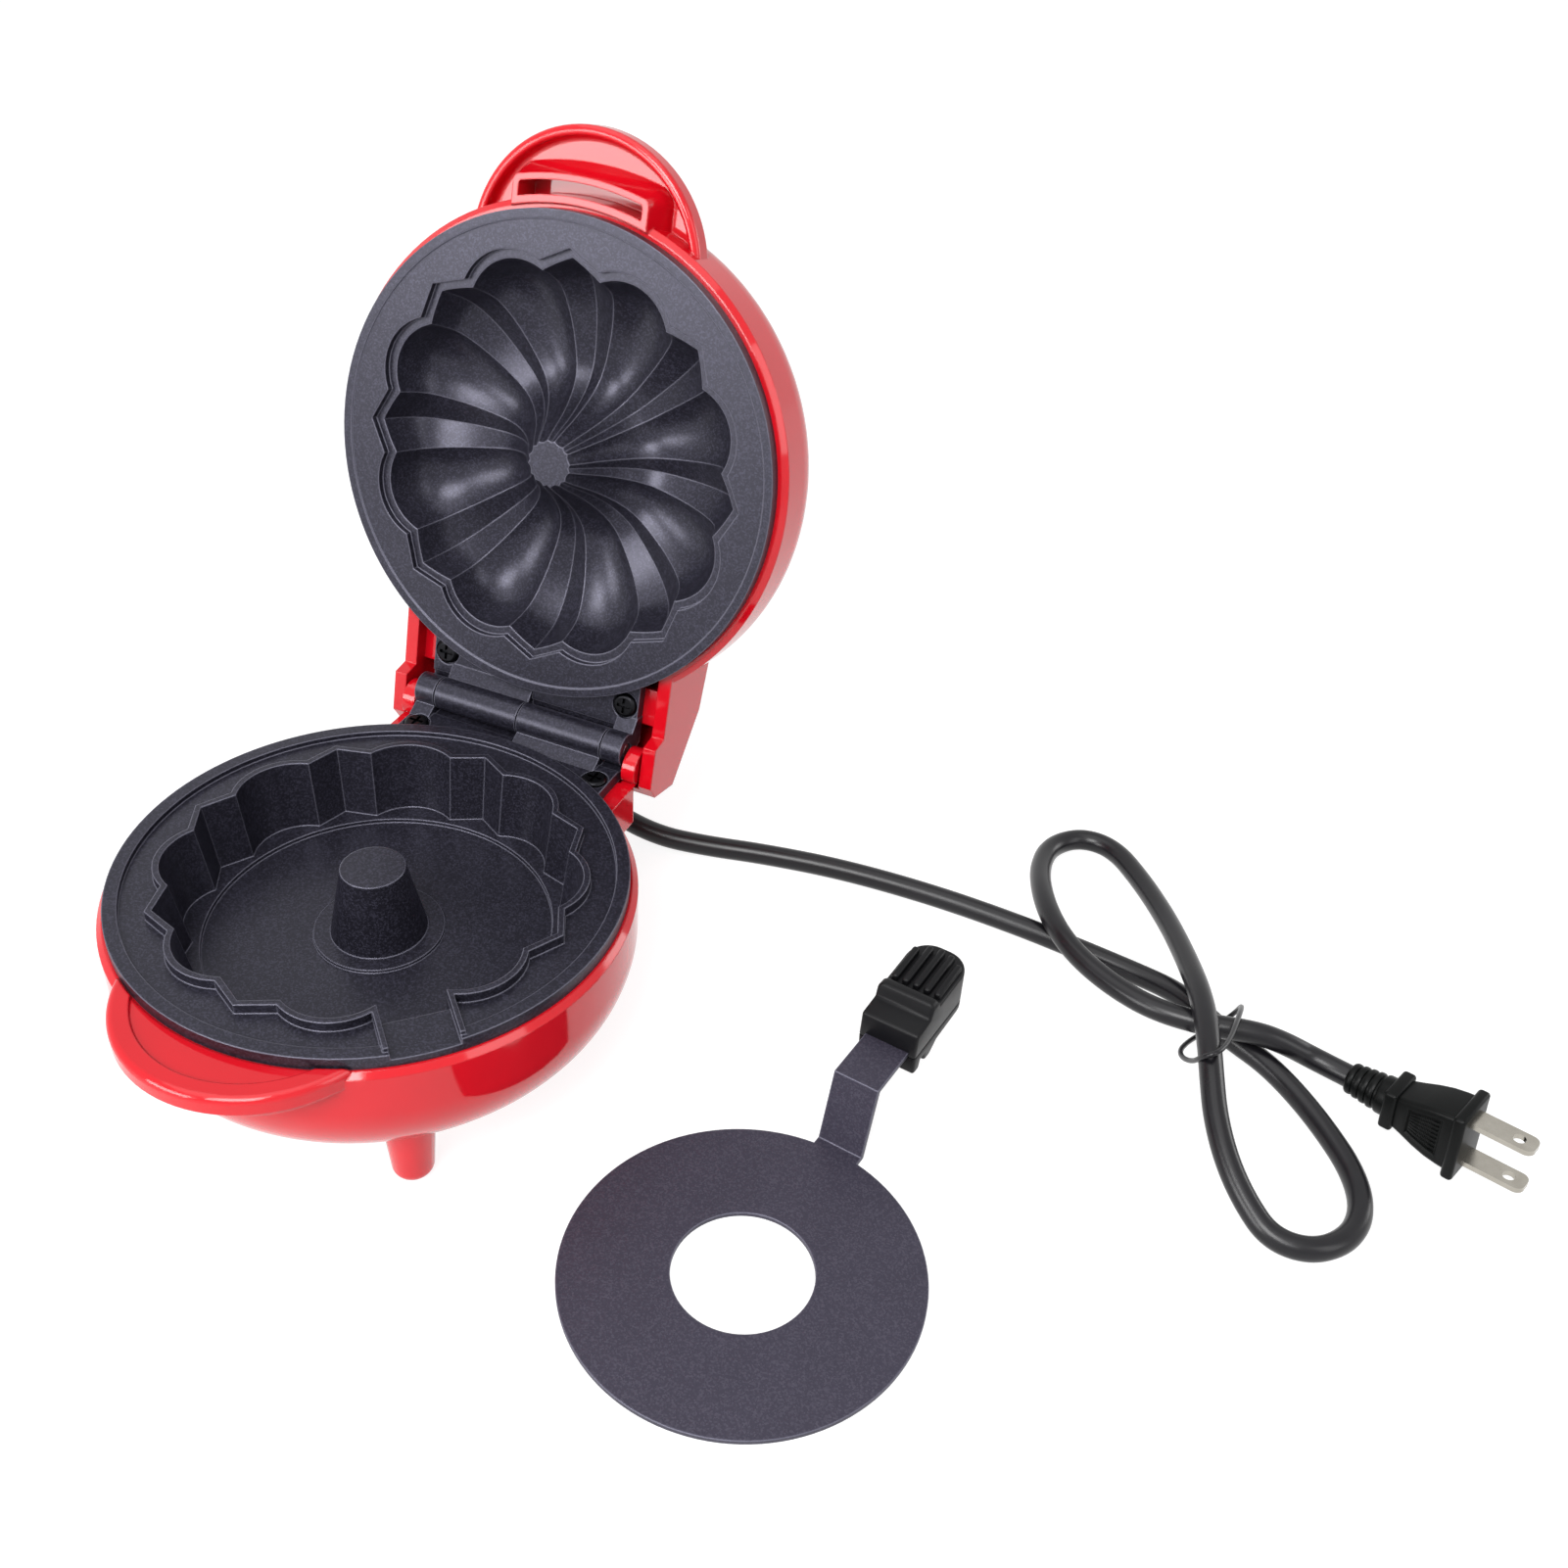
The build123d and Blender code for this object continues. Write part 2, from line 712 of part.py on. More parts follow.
with BuildPart() as base_shell:
    with BuildSketch(Plane.XZ):
        with BuildLine():
            Polyline((0, base_floor_z), (base_flat_r, base_floor_z))
            ThreePointArc(
                (base_flat_r, base_floor_z),
                (base_flat_r + base_bend_r * base_mid, base_bend_z - base_bend_r * base_mid),
                (base_r, base_bend_z),
            )
            Polyline(
                (base_r, base_bend_z),
                (base_r, flange_z - land_edge),
                (base_r - land_edge, flange_z),
                (0, flange_z),
                (0, base_floor_z),
            )
        make_face()
    revolve(axis=Axis.Z)
    with Locations((-foot_x, foot_y), (foot_x, foot_y)):
        Cone(foot_r, foot_top_r, foot_top, align=(Align.CENTER, Align.CENTER, Align.MIN))
    with Locations((-rear_foot_x, rear_foot_y), (rear_foot_x, rear_foot_y)):
        Cone(foot_r, foot_top_r, rear_foot_top, align=(Align.CENTER, Align.CENTER, Align.MIN))
    fillet(base_shell.edges().group_by(Axis.Z)[0], foot_round)
    add(front_lip.part)
    with BuildSketch(Plane.YZ.offset(-ear_x)):
        Polygon(
            (lug_inner_y, lug_bottom),
            (housing_y, lug_bottom),
            (housing_y, housing_low_z),
            (base_r - land_edge, housing_low_z - 2 * shell_t),
            (lug_inner_y, housing_low_z - 2 * shell_t),
            align=None,
        )
    extrude(amount=2 * ear_x)
    for start in (-ear_x - ear_t, ear_x):
        with BuildSketch(Plane.YZ.offset(start)):
            with Locations((ear_y, ear_z)):
                Circle(ear_r)
            with Locations((hinge_y, hinge_z)):
                Circle(ear_reach, mode=Mode.INTERSECT)
            Polygon(
                (lug_inner_y, lug_bottom),
                (ear_y - ear_r * base_mid, lug_bottom),
                (ear_y - ear_r, ear_z),
                (ear_y, ear_z),
                (hinge_y, hinge_z - ear_reach),
                (housing_y, lug_bottom - lug_inset),
                (housing_y, housing_low_z),
                (lug_inner_y, housing_low_z),
                align=None,
            )
        extrude(amount=ear_t)
    with BuildSketch(Plane.XZ.offset(-housing_y)):
        with Locations((0, (base_floor_z + bush_z + boss_half) / 2)):
            Rectangle(2 * boss_half, bush_z + boss_half - base_floor_z)
    extrude(amount=housing_y - base_flat_r)
    with BuildSketch(Plane.XZ):
        with BuildLine():
            Polyline((0, inner_floor_z), (base_flat_r, inner_floor_z))
            ThreePointArc(
                (base_flat_r, inner_floor_z),
                (base_flat_r + inner_bend_r * base_mid, base_bend_z - inner_bend_r * base_mid),
                (base_r - shell_t, base_bend_z),
            )
            Polyline(
                (base_r - shell_t, base_bend_z),
                (base_r - shell_t, flange_z - shell_t),
                (land_r, flange_z - shell_t),
                (land_r, flange_z),
                (0, flange_z),
                (0, inner_floor_z),
            )
        make_face()
    revolve(axis=Axis.Z, mode=Mode.SUBTRACT)
    with BuildSketch(Plane.YZ.offset(-screw_block_in)):
        Polygon(
            (lug_inner_y, lug_bottom - shell_t),
            (housing_y - shell_t, lug_bottom - shell_t),
            (housing_y - shell_t, housing_low_z + shell_t),
            (lug_inner_y, housing_low_z + shell_t),
            align=None,
        )
    extrude(amount=2 * screw_block_in, mode=Mode.SUBTRACT)
    with BuildSketch(Plane.XY.offset(lug_bottom)):
        with Locations((0, (lug_inner_y + housing_y) / 2 + lug_t)):
            Rectangle(2 * ear_x, housing_y - lug_inner_y + 2 * lug_t)
    extrude(amount=flange_t + lug_t, mode=Mode.SUBTRACT)
    with BuildSketch(Plane.XY.offset(flange_z)):
        Circle(plate_r + plate_clear)
    extrude(amount=2 * flange_t, mode=Mode.SUBTRACT)
    with BuildSketch(Plane.XY.offset(lug_bottom)):
        with Locations((-lug_screw_x, lug_screw_y), (lug_screw_x, lug_screw_y)):
            Circle(screw_r + thread_clear)
    extrude(amount=lug_t - lug_screw_len - head_h, mode=Mode.SUBTRACT)
    with BuildSketch(Plane.XZ.offset(-housing_y)):
        with Locations((0, bush_z)):
            Circle(bush_r + thread_clear)
    extrude(amount=housing_y - base_flat_r, mode=Mode.SUBTRACT)
    with BuildSketch(Plane.XY.offset(inner_floor_z - shell_t / 2)):
        with Locations((0, block_y)):
            Rectangle(block_size[0], block_size[1])
    extrude(amount=block_pad_h + shell_t / 2)
    with BuildSketch(Plane.XY.offset(inner_floor_z - shell_t / 2)):
        with PolarLocations(shield_post_ring, 3, 90):
            Circle(shield_post_r)
    extrude(amount=shield_post_h + shell_t / 2)
    with BuildSketch(Plane.XY.offset(base_floor_z)):
        with Locations((-base_screw_x, base_screw_y), (base_screw_x, base_screw_y)):
            Circle(base_boss_r + shell_t / 2)
    extrude(amount=base_head_z + shell_t - base_floor_z)
    with BuildSketch(Plane.XY.offset(base_head_z)):
        with Locations((-base_screw_x, base_screw_y), (base_screw_x, base_screw_y)):
            Circle(base_boss_r)
    extrude(amount=column_top - base_head_z)
    with BuildSketch(Plane.XY.offset(base_floor_z)):
        with Locations((-base_screw_x, base_screw_y), (base_screw_x, base_screw_y)):
            Circle(screw_r + screw_clear)
    extrude(amount=column_top - base_floor_z, mode=Mode.SUBTRACT)
    with BuildSketch(Plane.XY.offset(base_floor_z)):
        with Locations((-base_screw_x, base_screw_y), (base_screw_x, base_screw_y)):
            Circle(head_r + head_pocket)
    extrude(amount=base_head_z - base_floor_z, mode=Mode.SUBTRACT)

# Lid shell, drawn shut
lid_side_z = up_flange_z + lid_side_h
lid_top = up_flange_z + lid_height
lid_mid_z = up_flange_z + lid_mid_h
housing_out = housing_x + housing_wall
tab_y = tab_in - lid_r
tab_z = up_flange_z + tab_set
loop_z = up_flange_z - loop_over
loop_r = lid_r + loop_out
loop_h = tab_z + tab_pocket - loop_z

with BuildPart() as lid_tab:
    with BuildSketch(Plane.XY.offset(tab_z)):
        with Locations((0, tab_y)):
            Circle(tab_r)
    extrude(amount=tab_t)
    fillet(lid_tab.edges().group_by(Axis.Z)[0], tab_round)
    fillet(lid_tab.edges().group_by(Axis.Z)[-1], tab_round)
    with BuildSketch(Plane.XY.offset(tab_z)):
        with Locations((0, tab_y)):
            Circle(tab_r - tab_wall)
    extrude(amount=tab_pocket, mode=Mode.SUBTRACT)
    fillet(lid_tab.faces().sort_by(Axis.Z)[0].inner_wires()[0].edges(), tab_edge_round)
    tab_floor = lid_tab.faces().filter_by(Plane.XY).sort_by(Axis.Z)[1]
    fillet(tab_floor.edges(), tab_round)
    with BuildSketch(Plane.XY.offset(loop_z)) as loop:
        Circle(loop_r)
        Circle(lid_r - shell_t / 2, mode=Mode.SUBTRACT)
        with Locations((0, -loop_r)):
            Rectangle(2 * loop_half, loop_r, mode=Mode.INTERSECT)
        fillet(loop.vertices().group_by(Axis.Y)[0], loop_round)
    extrude(amount=loop_h, taper=-loop_flare)

with BuildPart() as lid_shell:
    with BuildSketch(Plane.XZ):
        with BuildLine():
            Polyline(
                (0, lid_top),
                (0, up_flange_z),
                (lid_r - land_edge, up_flange_z),
                (lid_r, up_flange_z + land_edge),
                (lid_r, lid_side_z),
            )
            Spline((lid_r, lid_side_z), (lid_mid_r, lid_mid_z), (0, lid_top), tangents=((0, 1), (-1, 0)))
        make_face()
    revolve(axis=Axis.Z)
    add(lid_tab.part)
    with BuildSketch(Plane.YZ.offset(-housing_out)):
        Polygon(
            (housing_inner_y, up_flange_z),
            (lug_y, up_flange_z),
            (lug_y + housing_chamfer / 2, housing_bottom_z),
            (housing_back_y - housing_chamfer, housing_bottom_z),
            (housing_back_y, housing_bottom_z + housing_chamfer),
            (housing_back_y, housing_top_z),
            (housing_roof_y, housing_roof_z),
            (housing_inner_y, housing_inner_z),
            align=None,
        )
    extrude(amount=2 * housing_out)
    with BuildSketch(Plane.XZ):
        with BuildLine():
            Polyline(
                (0, lid_top - shell_t),
                (0, up_flange_z),
                (land_r, up_flange_z),
                (land_r, up_flange_z + shell_t),
                (lid_r - shell_t, up_flange_z + shell_t),
                (lid_r - shell_t, lid_side_z),
            )
            Spline(
                (lid_r - shell_t, lid_side_z),
                (lid_mid_r - shell_t, lid_mid_z - shell_t / 2),
                (0, lid_top - shell_t),
                tangents=((0, 1), (-1, 0)),
            )
        make_face()
    revolve(axis=Axis.Z, mode=Mode.SUBTRACT)
    with BuildSketch(Plane.YZ.offset(-housing_x)):
        Polygon(
            (housing_inner_y, housing_bottom_z - shell_t),
            (housing_back_y - shell_t, housing_bottom_z - shell_t),
            (housing_back_y - shell_t, housing_top_z - shell_t / 2),
            (housing_roof_y - shell_t / 2, housing_roof_z - shell_t),
            (housing_inner_y, housing_inner_z - shell_t),
            align=None,
        )
    extrude(amount=2 * housing_x, mode=Mode.SUBTRACT)
    for side in (-1, 1):
        with BuildSketch(Plane.XY.offset(up_lug_top)):
            with Locations((side * (screw_block_in + housing_x) / 2, lug_screw_y)):
                Rectangle(housing_x - screw_block_in, 2 * base_boss_r + shell_t)
        extrude(amount=housing_roof_z - shell_t - up_lug_top)
    with BuildSketch(Plane.XY.offset(up_lug_top)):
        with Locations((-lug_screw_x, lug_screw_y), (lug_screw_x, lug_screw_y)):
            Circle(screw_r + thread_clear)
    extrude(amount=lug_screw_len - lug_t + head_h, mode=Mode.SUBTRACT)
    with BuildSketch(Plane.XY.offset(loop_z)) as slot:
        Circle(loop_r - loop_wall)
        Circle(lid_r + slot_gap, mode=Mode.SUBTRACT)
        with Locations((0, -loop_r)):
            Rectangle(2 * (loop_half - loop_wall), loop_r, mode=Mode.INTERSECT)
        fillet(slot.vertices().group_by(Axis.Y)[0], loop_round / 2)
    extrude(amount=loop_h, mode=Mode.SUBTRACT)

# Screws
lug_screw = screw(lug_screw_len)
base_screw = screw(base_screw_len)

with BuildPart() as lower_lug_screws:
    with Locations(
        (-lug_screw_x, lug_screw_y, lug_top - head_h / 2),
        (lug_screw_x, lug_screw_y, lug_top - head_h / 2),
    ):
        add(lug_screw)

with BuildPart() as upper_lug_screws:
    with Locations(
        Plane((-lug_screw_x, lug_screw_y, up_lug_low + head_h / 2), z_dir=(0, 0, -1)),
        Plane((lug_screw_x, lug_screw_y, up_lug_low + head_h / 2), z_dir=(0, 0, -1)),
    ):
        add(lug_screw)

with BuildPart() as base_screws:
    with Locations(
        Plane((-base_screw_x, base_screw_y, base_head_z), z_dir=(0, 0, -1)),
        Plane((base_screw_x, base_screw_y, base_head_z), z_dir=(0, 0, -1)),
    ):
        add(base_screw)

# Thermostat under the lower plate
with BuildPart() as thermostat:
    with BuildSketch(Plane.XY.offset(pan_z)):
        with Locations((0, thermostat_y)):
            Circle(thermostat_r)
    extrude(amount=-thermostat_h)
    with BuildSketch(Plane.XY.offset(pan_z)):
        with Locations((0, thermostat_y)):
            Rectangle(2 * (thermostat_r + thermostat_tab[0]), thermostat_tab[1])
    extrude(amount=-thermostat_tab[2])

# Thermal fuse between the pan and the front strap
with BuildPart() as thermal_fuse:
    with BuildSketch(Plane.YZ.offset(-fuse_len / 2)):
        with Locations((fuse_y, (pan_z + clamp_z) / 2)):
            Circle((pan_z - clamp_z) / 2)
    extrude(amount=fuse_len)

# Heat shield on three posts
with BuildPart() as heat_shield:
    with BuildSketch(Plane.XY.offset(shield_z)):
        Circle(shield_r)
    extrude(amount=shield_t)

# Terminal block on its pad
with BuildPart() as terminal_block:
    with BuildSketch(Plane.XY.offset(block_z)):
        with Locations((0, block_y)):
            Rectangle(block_size[0], block_size[1])
    extrude(amount=block_size[2])

# Leads from the bush to the block, and from the block to the heater's pins
block_front = block_y - block_size[1] / 2
block_back = block_y + block_size[1] / 2
half_gap = heater_gap_angle / 2
pin_end = Vector(*polar(heater_r, 90 - half_gap)) + Vector(*polar(heater_pin_len, 180 - half_gap))
lead_turn = pin_end + Vector(*polar(heater_pin_len, 180 - half_gap))
lead_z = block_z + block_size[2] / 2

with BuildPart() as base_leads:
    for side in (-1, 1):
        with BuildSketch(Plane((side * lead_in_x, block_back, bush_z + lead_rise), z_dir=(0, 1, 0))):
            Circle(lead_r)
        extrude(amount=bush_in_y - block_back)
        with BuildLine():
            lead_line = FilletPolyline(
                (side * pin_end.X, pin_end.Y, heater_z),
                (side * lead_turn.X, lead_turn.Y, heater_z),
                (side * lead_x, block_front - lead_bend_r, lead_z),
                (side * lead_x, block_front, lead_z),
                radius=lead_bend_r / 2,
            )
        with BuildSketch(Plane(lead_line @ 0, z_dir=lead_line % 0)):
            Circle(lead_r)
        sweep(path=lead_line)

# Cord bush
with BuildPart() as cord_bush:
    with BuildSketch(Plane((0, bush_in_y, bush_z), z_dir=(0, 1, 0))):
        Circle(bush_r)
    extrude(amount=bush_in)
    with BuildSketch(Plane((0, housing_y, bush_z), z_dir=(0, 1, 0))):
        Circle(bush_flange_r)
    extrude(amount=bush_flange_t)
    with BuildSketch(Plane((0, housing_y + bush_flange_t, bush_z), z_dir=(0, 1, 0))):
        Circle(bush_root_r)
    extrude(amount=bush_out - bush_flange_t, taper=bush_taper)

# Lifting tool: flat ring, riser and strip in one sheet
lifter_plane = Plane((lifter_x, lifter_y, 0), x_dir=(*polar(1, lifter_angle), 0), z_dir=(0, 0, 1))
side_normal = polar(1, lifter_angle - 90)
lifter_side = Plane((lifter_x, lifter_y, 0), x_dir=(*polar(1, lifter_angle), 0), z_dir=(*side_normal, 0))
strip_z = cavity_depth + strip_lift
neck_r = blade_r - strip_w / 2
bend_out = riser_r + riser_lean
grip_end = grip_front_r + grip_len

with BuildPart() as lifter_blade:
    with BuildSketch(lifter_plane):
        Circle(blade_r)
        Circle(blade_hole_r, mode=Mode.SUBTRACT)
    extrude(amount=sheet_t)
    with BuildSketch(lifter_side):
        Polygon(
            (neck_r, 0),
            (riser_r + sheet_t, 0),
            (bend_out + sheet_t, strip_z),
            (strip_end_r, strip_z),
            (strip_end_r, strip_z + sheet_t),
            (bend_out, strip_z + sheet_t),
            (riser_r, sheet_t),
            (neck_r, sheet_t),
            align=None,
        )
    extrude(amount=strip_w / 2, both=True)


def grip_plan(z):
    # Plan outline of the grip, square at the front and round at the back.
    with BuildSketch(lifter_plane.offset(z)) as face:
        with Locations((grip_front_r + grip_len / 2, 0)):
            Rectangle(grip_len, grip_w)
        fillet(face.vertices().group_by(Axis.X)[-1], grip_round)
    return face.sketch


# Grip's two halves, the strip held between them
with BuildPart() as grip_top:
    add(grip_plan(strip_z))
    extrude(amount=grip_pad_rear_h)
    with BuildSketch(lifter_side) as grip_side:
        Polygon(
            (grip_front_r, strip_z),
            (grip_front_r + grip_edge / 2, strip_z + grip_front_h),
            (grip_front_r + grip_tread_run, strip_z + grip_tread_h),
            (grip_front_r + grip_ridge_run, strip_z + grip_ridge_h),
            (grip_front_r + grip_ridge_run + grip_edge, strip_z + grip_pad_h),
            (grip_end - grip_edge, strip_z + grip_pad_rear_h),
            (grip_end, strip_z + grip_rear_h),
            (grip_end, strip_z),
            align=None,
        )
        fillet(grip_side.vertices().sort_by(Axis.Y)[2:], grip_bend)
    extrude(amount=grip_w, both=True, mode=Mode.INTERSECT)
    with BuildSketch(lifter_plane.offset(strip_z + grip_pad_rear_h)):
        with Locations((grip_end - grip_edge - grip_len_flat / 2, 0)):
            with GridLocations(1, groove_pitch, 1, groove_count):
                Rectangle(grip_len_flat - 2 * grip_edge, groove_w)
    extrude(amount=-groove_d, mode=Mode.SUBTRACT)
    with BuildSketch(lifter_plane.offset(strip_z)):
        with Locations(((grip_front_r + strip_end_r + slot_clear) / 2, 0)):
            Rectangle(strip_end_r + slot_clear - grip_front_r, strip_w + 2 * slot_clear)
    extrude(amount=sheet_t, mode=Mode.SUBTRACT)
    with BuildSketch(lifter_plane.offset(strip_z)):
        with Locations((grip_screw_r, 0)):
            Circle(screw_r + thread_clear)
    extrude(amount=grip_screw_len, mode=Mode.SUBTRACT)

with BuildPart() as grip_bottom:
    add(grip_plan(strip_z))
    extrude(amount=-grip_under_h)
    with BuildSketch(lifter_side):
        Polygon(
            (grip_front_r, strip_z),
            (grip_front_r + grip_edge, strip_z - grip_under_h),
            (grip_front_r + grip_under_run, strip_z - grip_under_h),
            (grip_end, strip_z - grip_edge),
            (grip_end, strip_z),
            align=None,
        )
    extrude(amount=grip_w, both=True, mode=Mode.INTERSECT)
    with BuildSketch(lifter_plane.offset(strip_z - grip_under_h)):
        with Locations((grip_front_r + grip_under_run - prong_w, 0)):
            with GridLocations(1, 2 * prong_out, 1, 2):
                Rectangle(prong_w, prong_w)
    extrude(amount=-prong_h)
    with BuildSketch(lifter_plane.offset(strip_z)):
        with Locations((grip_screw_r, 0)):
            Circle(screw_r + screw_clear)
    extrude(amount=-grip_under_h, mode=Mode.SUBTRACT)
    with BuildSketch(lifter_plane.offset(strip_z - grip_screw_seat)):
        with Locations((grip_screw_r, 0)):
            Circle(head_r + head_pocket)
    extrude(amount=-grip_under_h, mode=Mode.SUBTRACT)

grip_fixing = screw(grip_screw_len)
screw_out = polar(grip_screw_r, lifter_angle)
screw_at = (lifter_x + screw_out[0], lifter_y + screw_out[1], strip_z - grip_screw_seat)

with BuildPart() as grip_screw:
    with Locations(Plane(screw_at, z_dir=(0, 0, -1))):
        add(grip_fixing)

# Cord: out of the bush, along the floor, folded twice under its tie and on to the plug
plug_len = plug_tail_len + plug_rear[2] + plug_body_len + plug_front_t
plug_dir = Vector(1, 0, 0).rotate(Axis.Y, -plug_tilt).rotate(Axis.Z, plug_turn)
plug_up = Vector(0, 0, 1).rotate(Axis.Y, -plug_tilt).rotate(Axis.Z, plug_turn)
plug_tail = Vector(*plug_face) - plug_dir * plug_len
plug_lead_in = plug_tail - plug_dir * plug_lead
cord_points = [
    Vector(0, housing_y + bush_out, bush_z),
    Vector(0, 87.0, bush_z),
    Vector(13.0, 95.5, 11.5),
    Vector(29.0, 97.5, 5.2),
    Vector(44.0, 102.0, 3.3),
    Vector(62.0, 107.0, cord_r),
    Vector(86.0, 111.3, cord_r),
    Vector(114.0, 112.8, cord_r),
    Vector(140.0, 111.8, cord_r),
    Vector(160.0, 109.6, cord_r),
    Vector(177.0, 107.4, cord_r),
    Vector(189.0, 104.2, 4.2),
    Vector(197.7, 98.2, 5.1),
    Vector(207.0, 91.8, 5.1),
    Vector(217.0, 87.2, 5.1),
    Vector(226.0, 81.5, 4.0),
    Vector(235.5, 73.0, cord_r),
    Vector(245.1, 61.0, cord_r),
    Vector(249.3, 49.3, cord_r),
    Vector(247.5, 38.8, cord_r),
    Vector(240.0, 31.0, cord_r),
    Vector(229.8, 30.3, 3.6),
    Vector(221.8, 36.0, 6.8),
    Vector(215.0, 43.0, 10.8),
    Vector(209.4, 51.8, 15.2),
    Vector(205.5, 62.3, 18.4),
    Vector(202.4, 72.6, 19.6),
    Vector(197.1, 88.6, 19.0),
    Vector(189.0, 108.7, 13.8),
    Vector(179.7, 128.6, 8.5),
    Vector(168.5, 146.5, 4.8),
    Vector(157.0, 159.5, 3.4),
    Vector(146.0, 160.3, cord_r),
    Vector(138.6, 151.5, cord_r),
    Vector(139.2, 137.0, 5.2),
    Vector(145.2, 119.2, 9.2),
    Vector(153.4, 105.6, 10.8),
    Vector(162.5, 97.4, 10.6),
    Vector(173.7, 91.2, 10.4),
    Vector(186.0, 86.7, 11.0),
    Vector(200.0, 86.5, 11.8),
    Vector(213.0, 89.3, 12.3),
    Vector(220.8, 90.8, 10.5),
    plug_lead_in,
    plug_tail,
]
cord_radii = []
for before, here, after in zip(cord_points, cord_points[1:], cord_points[2:]):
    turn = (here - before).get_angle(after - here)
    shorter = min((here - before).length, (after - here).length)
    cord_radii.append(cord_bend_share * shorter / math.tan(math.radians(turn / 2)))
print("cord radii", [round(radius, 1) for radius in cord_radii])

with BuildPart() as cord:
    with BuildLine():
        cord_line = FilletPolyline(*cord_points, radius=cord_radii)
    with BuildSketch(Plane(cord_line @ 0, z_dir=cord_line % 0)):
        Circle(cord_r)
    sweep(path=cord_line)
cord_length = cord_line.length
cord_ratio = cord.part.volume / (math.pi * cord_r**2 * cord_length)
print("cord length", round(cord_length, 1), "volume against section by length", round(cord_ratio, 4))

# Least gap between strands, measured on points along the cord
samples = [cord_line @ (k / cord_samples) for k in range(cord_samples + 1)]
least_gap = min(
    (one - other).length - 2 * cord_r
    for k, one in enumerate(samples)
    for other in samples[k + cord_apart :]
)
print("least gap between strands", round(least_gap, 2))

# Wire tie round the three strands
tie_plane = Plane((tie_x, tie_y, 0), x_dir=tie_dir, z_dir=(tie_dir[1], -tie_dir[0], 0))

with BuildPart() as cord_tie:
    with BuildLine(tie_plane):
        tie_line = FilletPolyline(
            (-6.8, 15.0),
            (-6.4, 24.2),
            (3.6, 24.2),
            (24.0, 17.8),
            (24.0, 0.75),
            (11.5, 0.75),
            radius=tie_bend,
            close=True,
        )
    with BuildSketch(Plane(tie_line @ 0, z_dir=tie_line % 0)):
        Circle(tie_r)
    sweep(path=tie_line)
tie_points = [tie_line @ (k / tie_samples) for k in range(tie_samples)]
tie_gap = min((one - other).length for one in tie_points for other in samples) - cord_r - tie_r
print("gap between tie and cord", round(tie_gap, 2))

# Plug
plug_axis = Plane(plug_tail, x_dir=plug_up, z_dir=plug_dir)
rear_at = plug_tail_len
neck_at = rear_at + plug_rear[2]
chest_at = neck_at + plug_body_len
rib_grow = (plug_root_r - plug_tail_r) / plug_rib_count

with BuildPart() as plug_body:
    with BuildSketch(plug_axis):
        Circle(plug_tail_r - plug_rib_d)
    extrude(amount=plug_tail_len)
    for k in range(plug_rib_count):
        with BuildSketch(plug_axis.offset(plug_rib_w / 2 + k * plug_rib_pitch)):
            Circle(plug_tail_r + k * rib_grow)
        extrude(amount=plug_rib_w)
    with BuildSketch(plug_axis.offset(rear_at)):
        Circle(plug_root_r)
    extrude(amount=-plug_rib_pitch)
    with BuildSketch(plug_axis.offset(rear_at)):
        RectangleRounded(plug_rear[0], plug_rear[1], plug_corner)
    extrude(amount=plug_rear[2])
    with BuildSketch(plug_axis.offset(neck_at)) as neck:
        RectangleRounded(*plug_neck, plug_corner)
    with BuildSketch(plug_axis.offset(chest_at)) as chest:
        RectangleRounded(*plug_chest, plug_corner)
    loft([neck.sketch, chest.sketch])
    with BuildSketch(plug_axis.offset(chest_at)):
        RectangleRounded(plug_front_h, plug_front_w, plug_corner)
    extrude(amount=plug_front_t)
    with BuildSketch(plug_axis.offset(plug_len)):
        with GridLocations(blade_pitch, 1, 2, 1):
            Rectangle(blade_t, blade_w)
    extrude(amount=-blade_root, mode=Mode.SUBTRACT)

# Plug blades
with BuildPart() as plug_blades:
    for side in (-1, 1):
        blade_plane = Plane(
            plug_tail + plug_dir * plug_len + plug_up * (side * blade_pitch / 2 - blade_t / 2),
            x_dir=plug_dir,
            z_dir=plug_up,
        )
        with BuildSketch(blade_plane) as blade:
            with Locations(((blade_len - blade_root) / 2, 0)):
                Rectangle(blade_len + blade_root, blade_w)
            fillet(blade.vertices().group_by(Axis.X)[-1], blade_round)
            with Locations((blade_eye_at, 0)):
                Circle(blade_eye_r, mode=Mode.SUBTRACT)
        extrude(amount=blade_t)

# Hand the pieces over, the lid's own swung open
fixed_pieces = {
    "base_shell": base_shell.part,
    "lower_plate": lower_plate.part,
    "hinge_pin": hinge_pin.part,
    "lower_lug_screws": lower_lug_screws.part,
    "base_screws": base_screws.part,
    "lower_heater": ring_heater(heater_r, heater_z),
    "lower_heater_pins": heater_pins(heater_r, heater_z),
    "lower_clamps": heater_clamps(heater_r, clamp_z, -1),
    "lower_clamp_screws": clamp_screws(heater_r, clamp_z - clamp_t, -1),
    "heat_shield": heat_shield.part,
    "thermostat": thermostat.part,
    "thermal_fuse": thermal_fuse.part,
    "terminal_block": terminal_block.part,
    "base_leads": base_leads.part,
    "cord_bush": cord_bush.part,
    "lifter_blade": lifter_blade.part,
    "grip_top": grip_top.part,
    "grip_bottom": grip_bottom.part,
    "grip_screw": grip_screw.part,
    "cord": cord.part,
    "cord_tie": cord_tie.part,
    "plug_body": plug_body.part,
    "plug_blades": plug_blades.part,
}
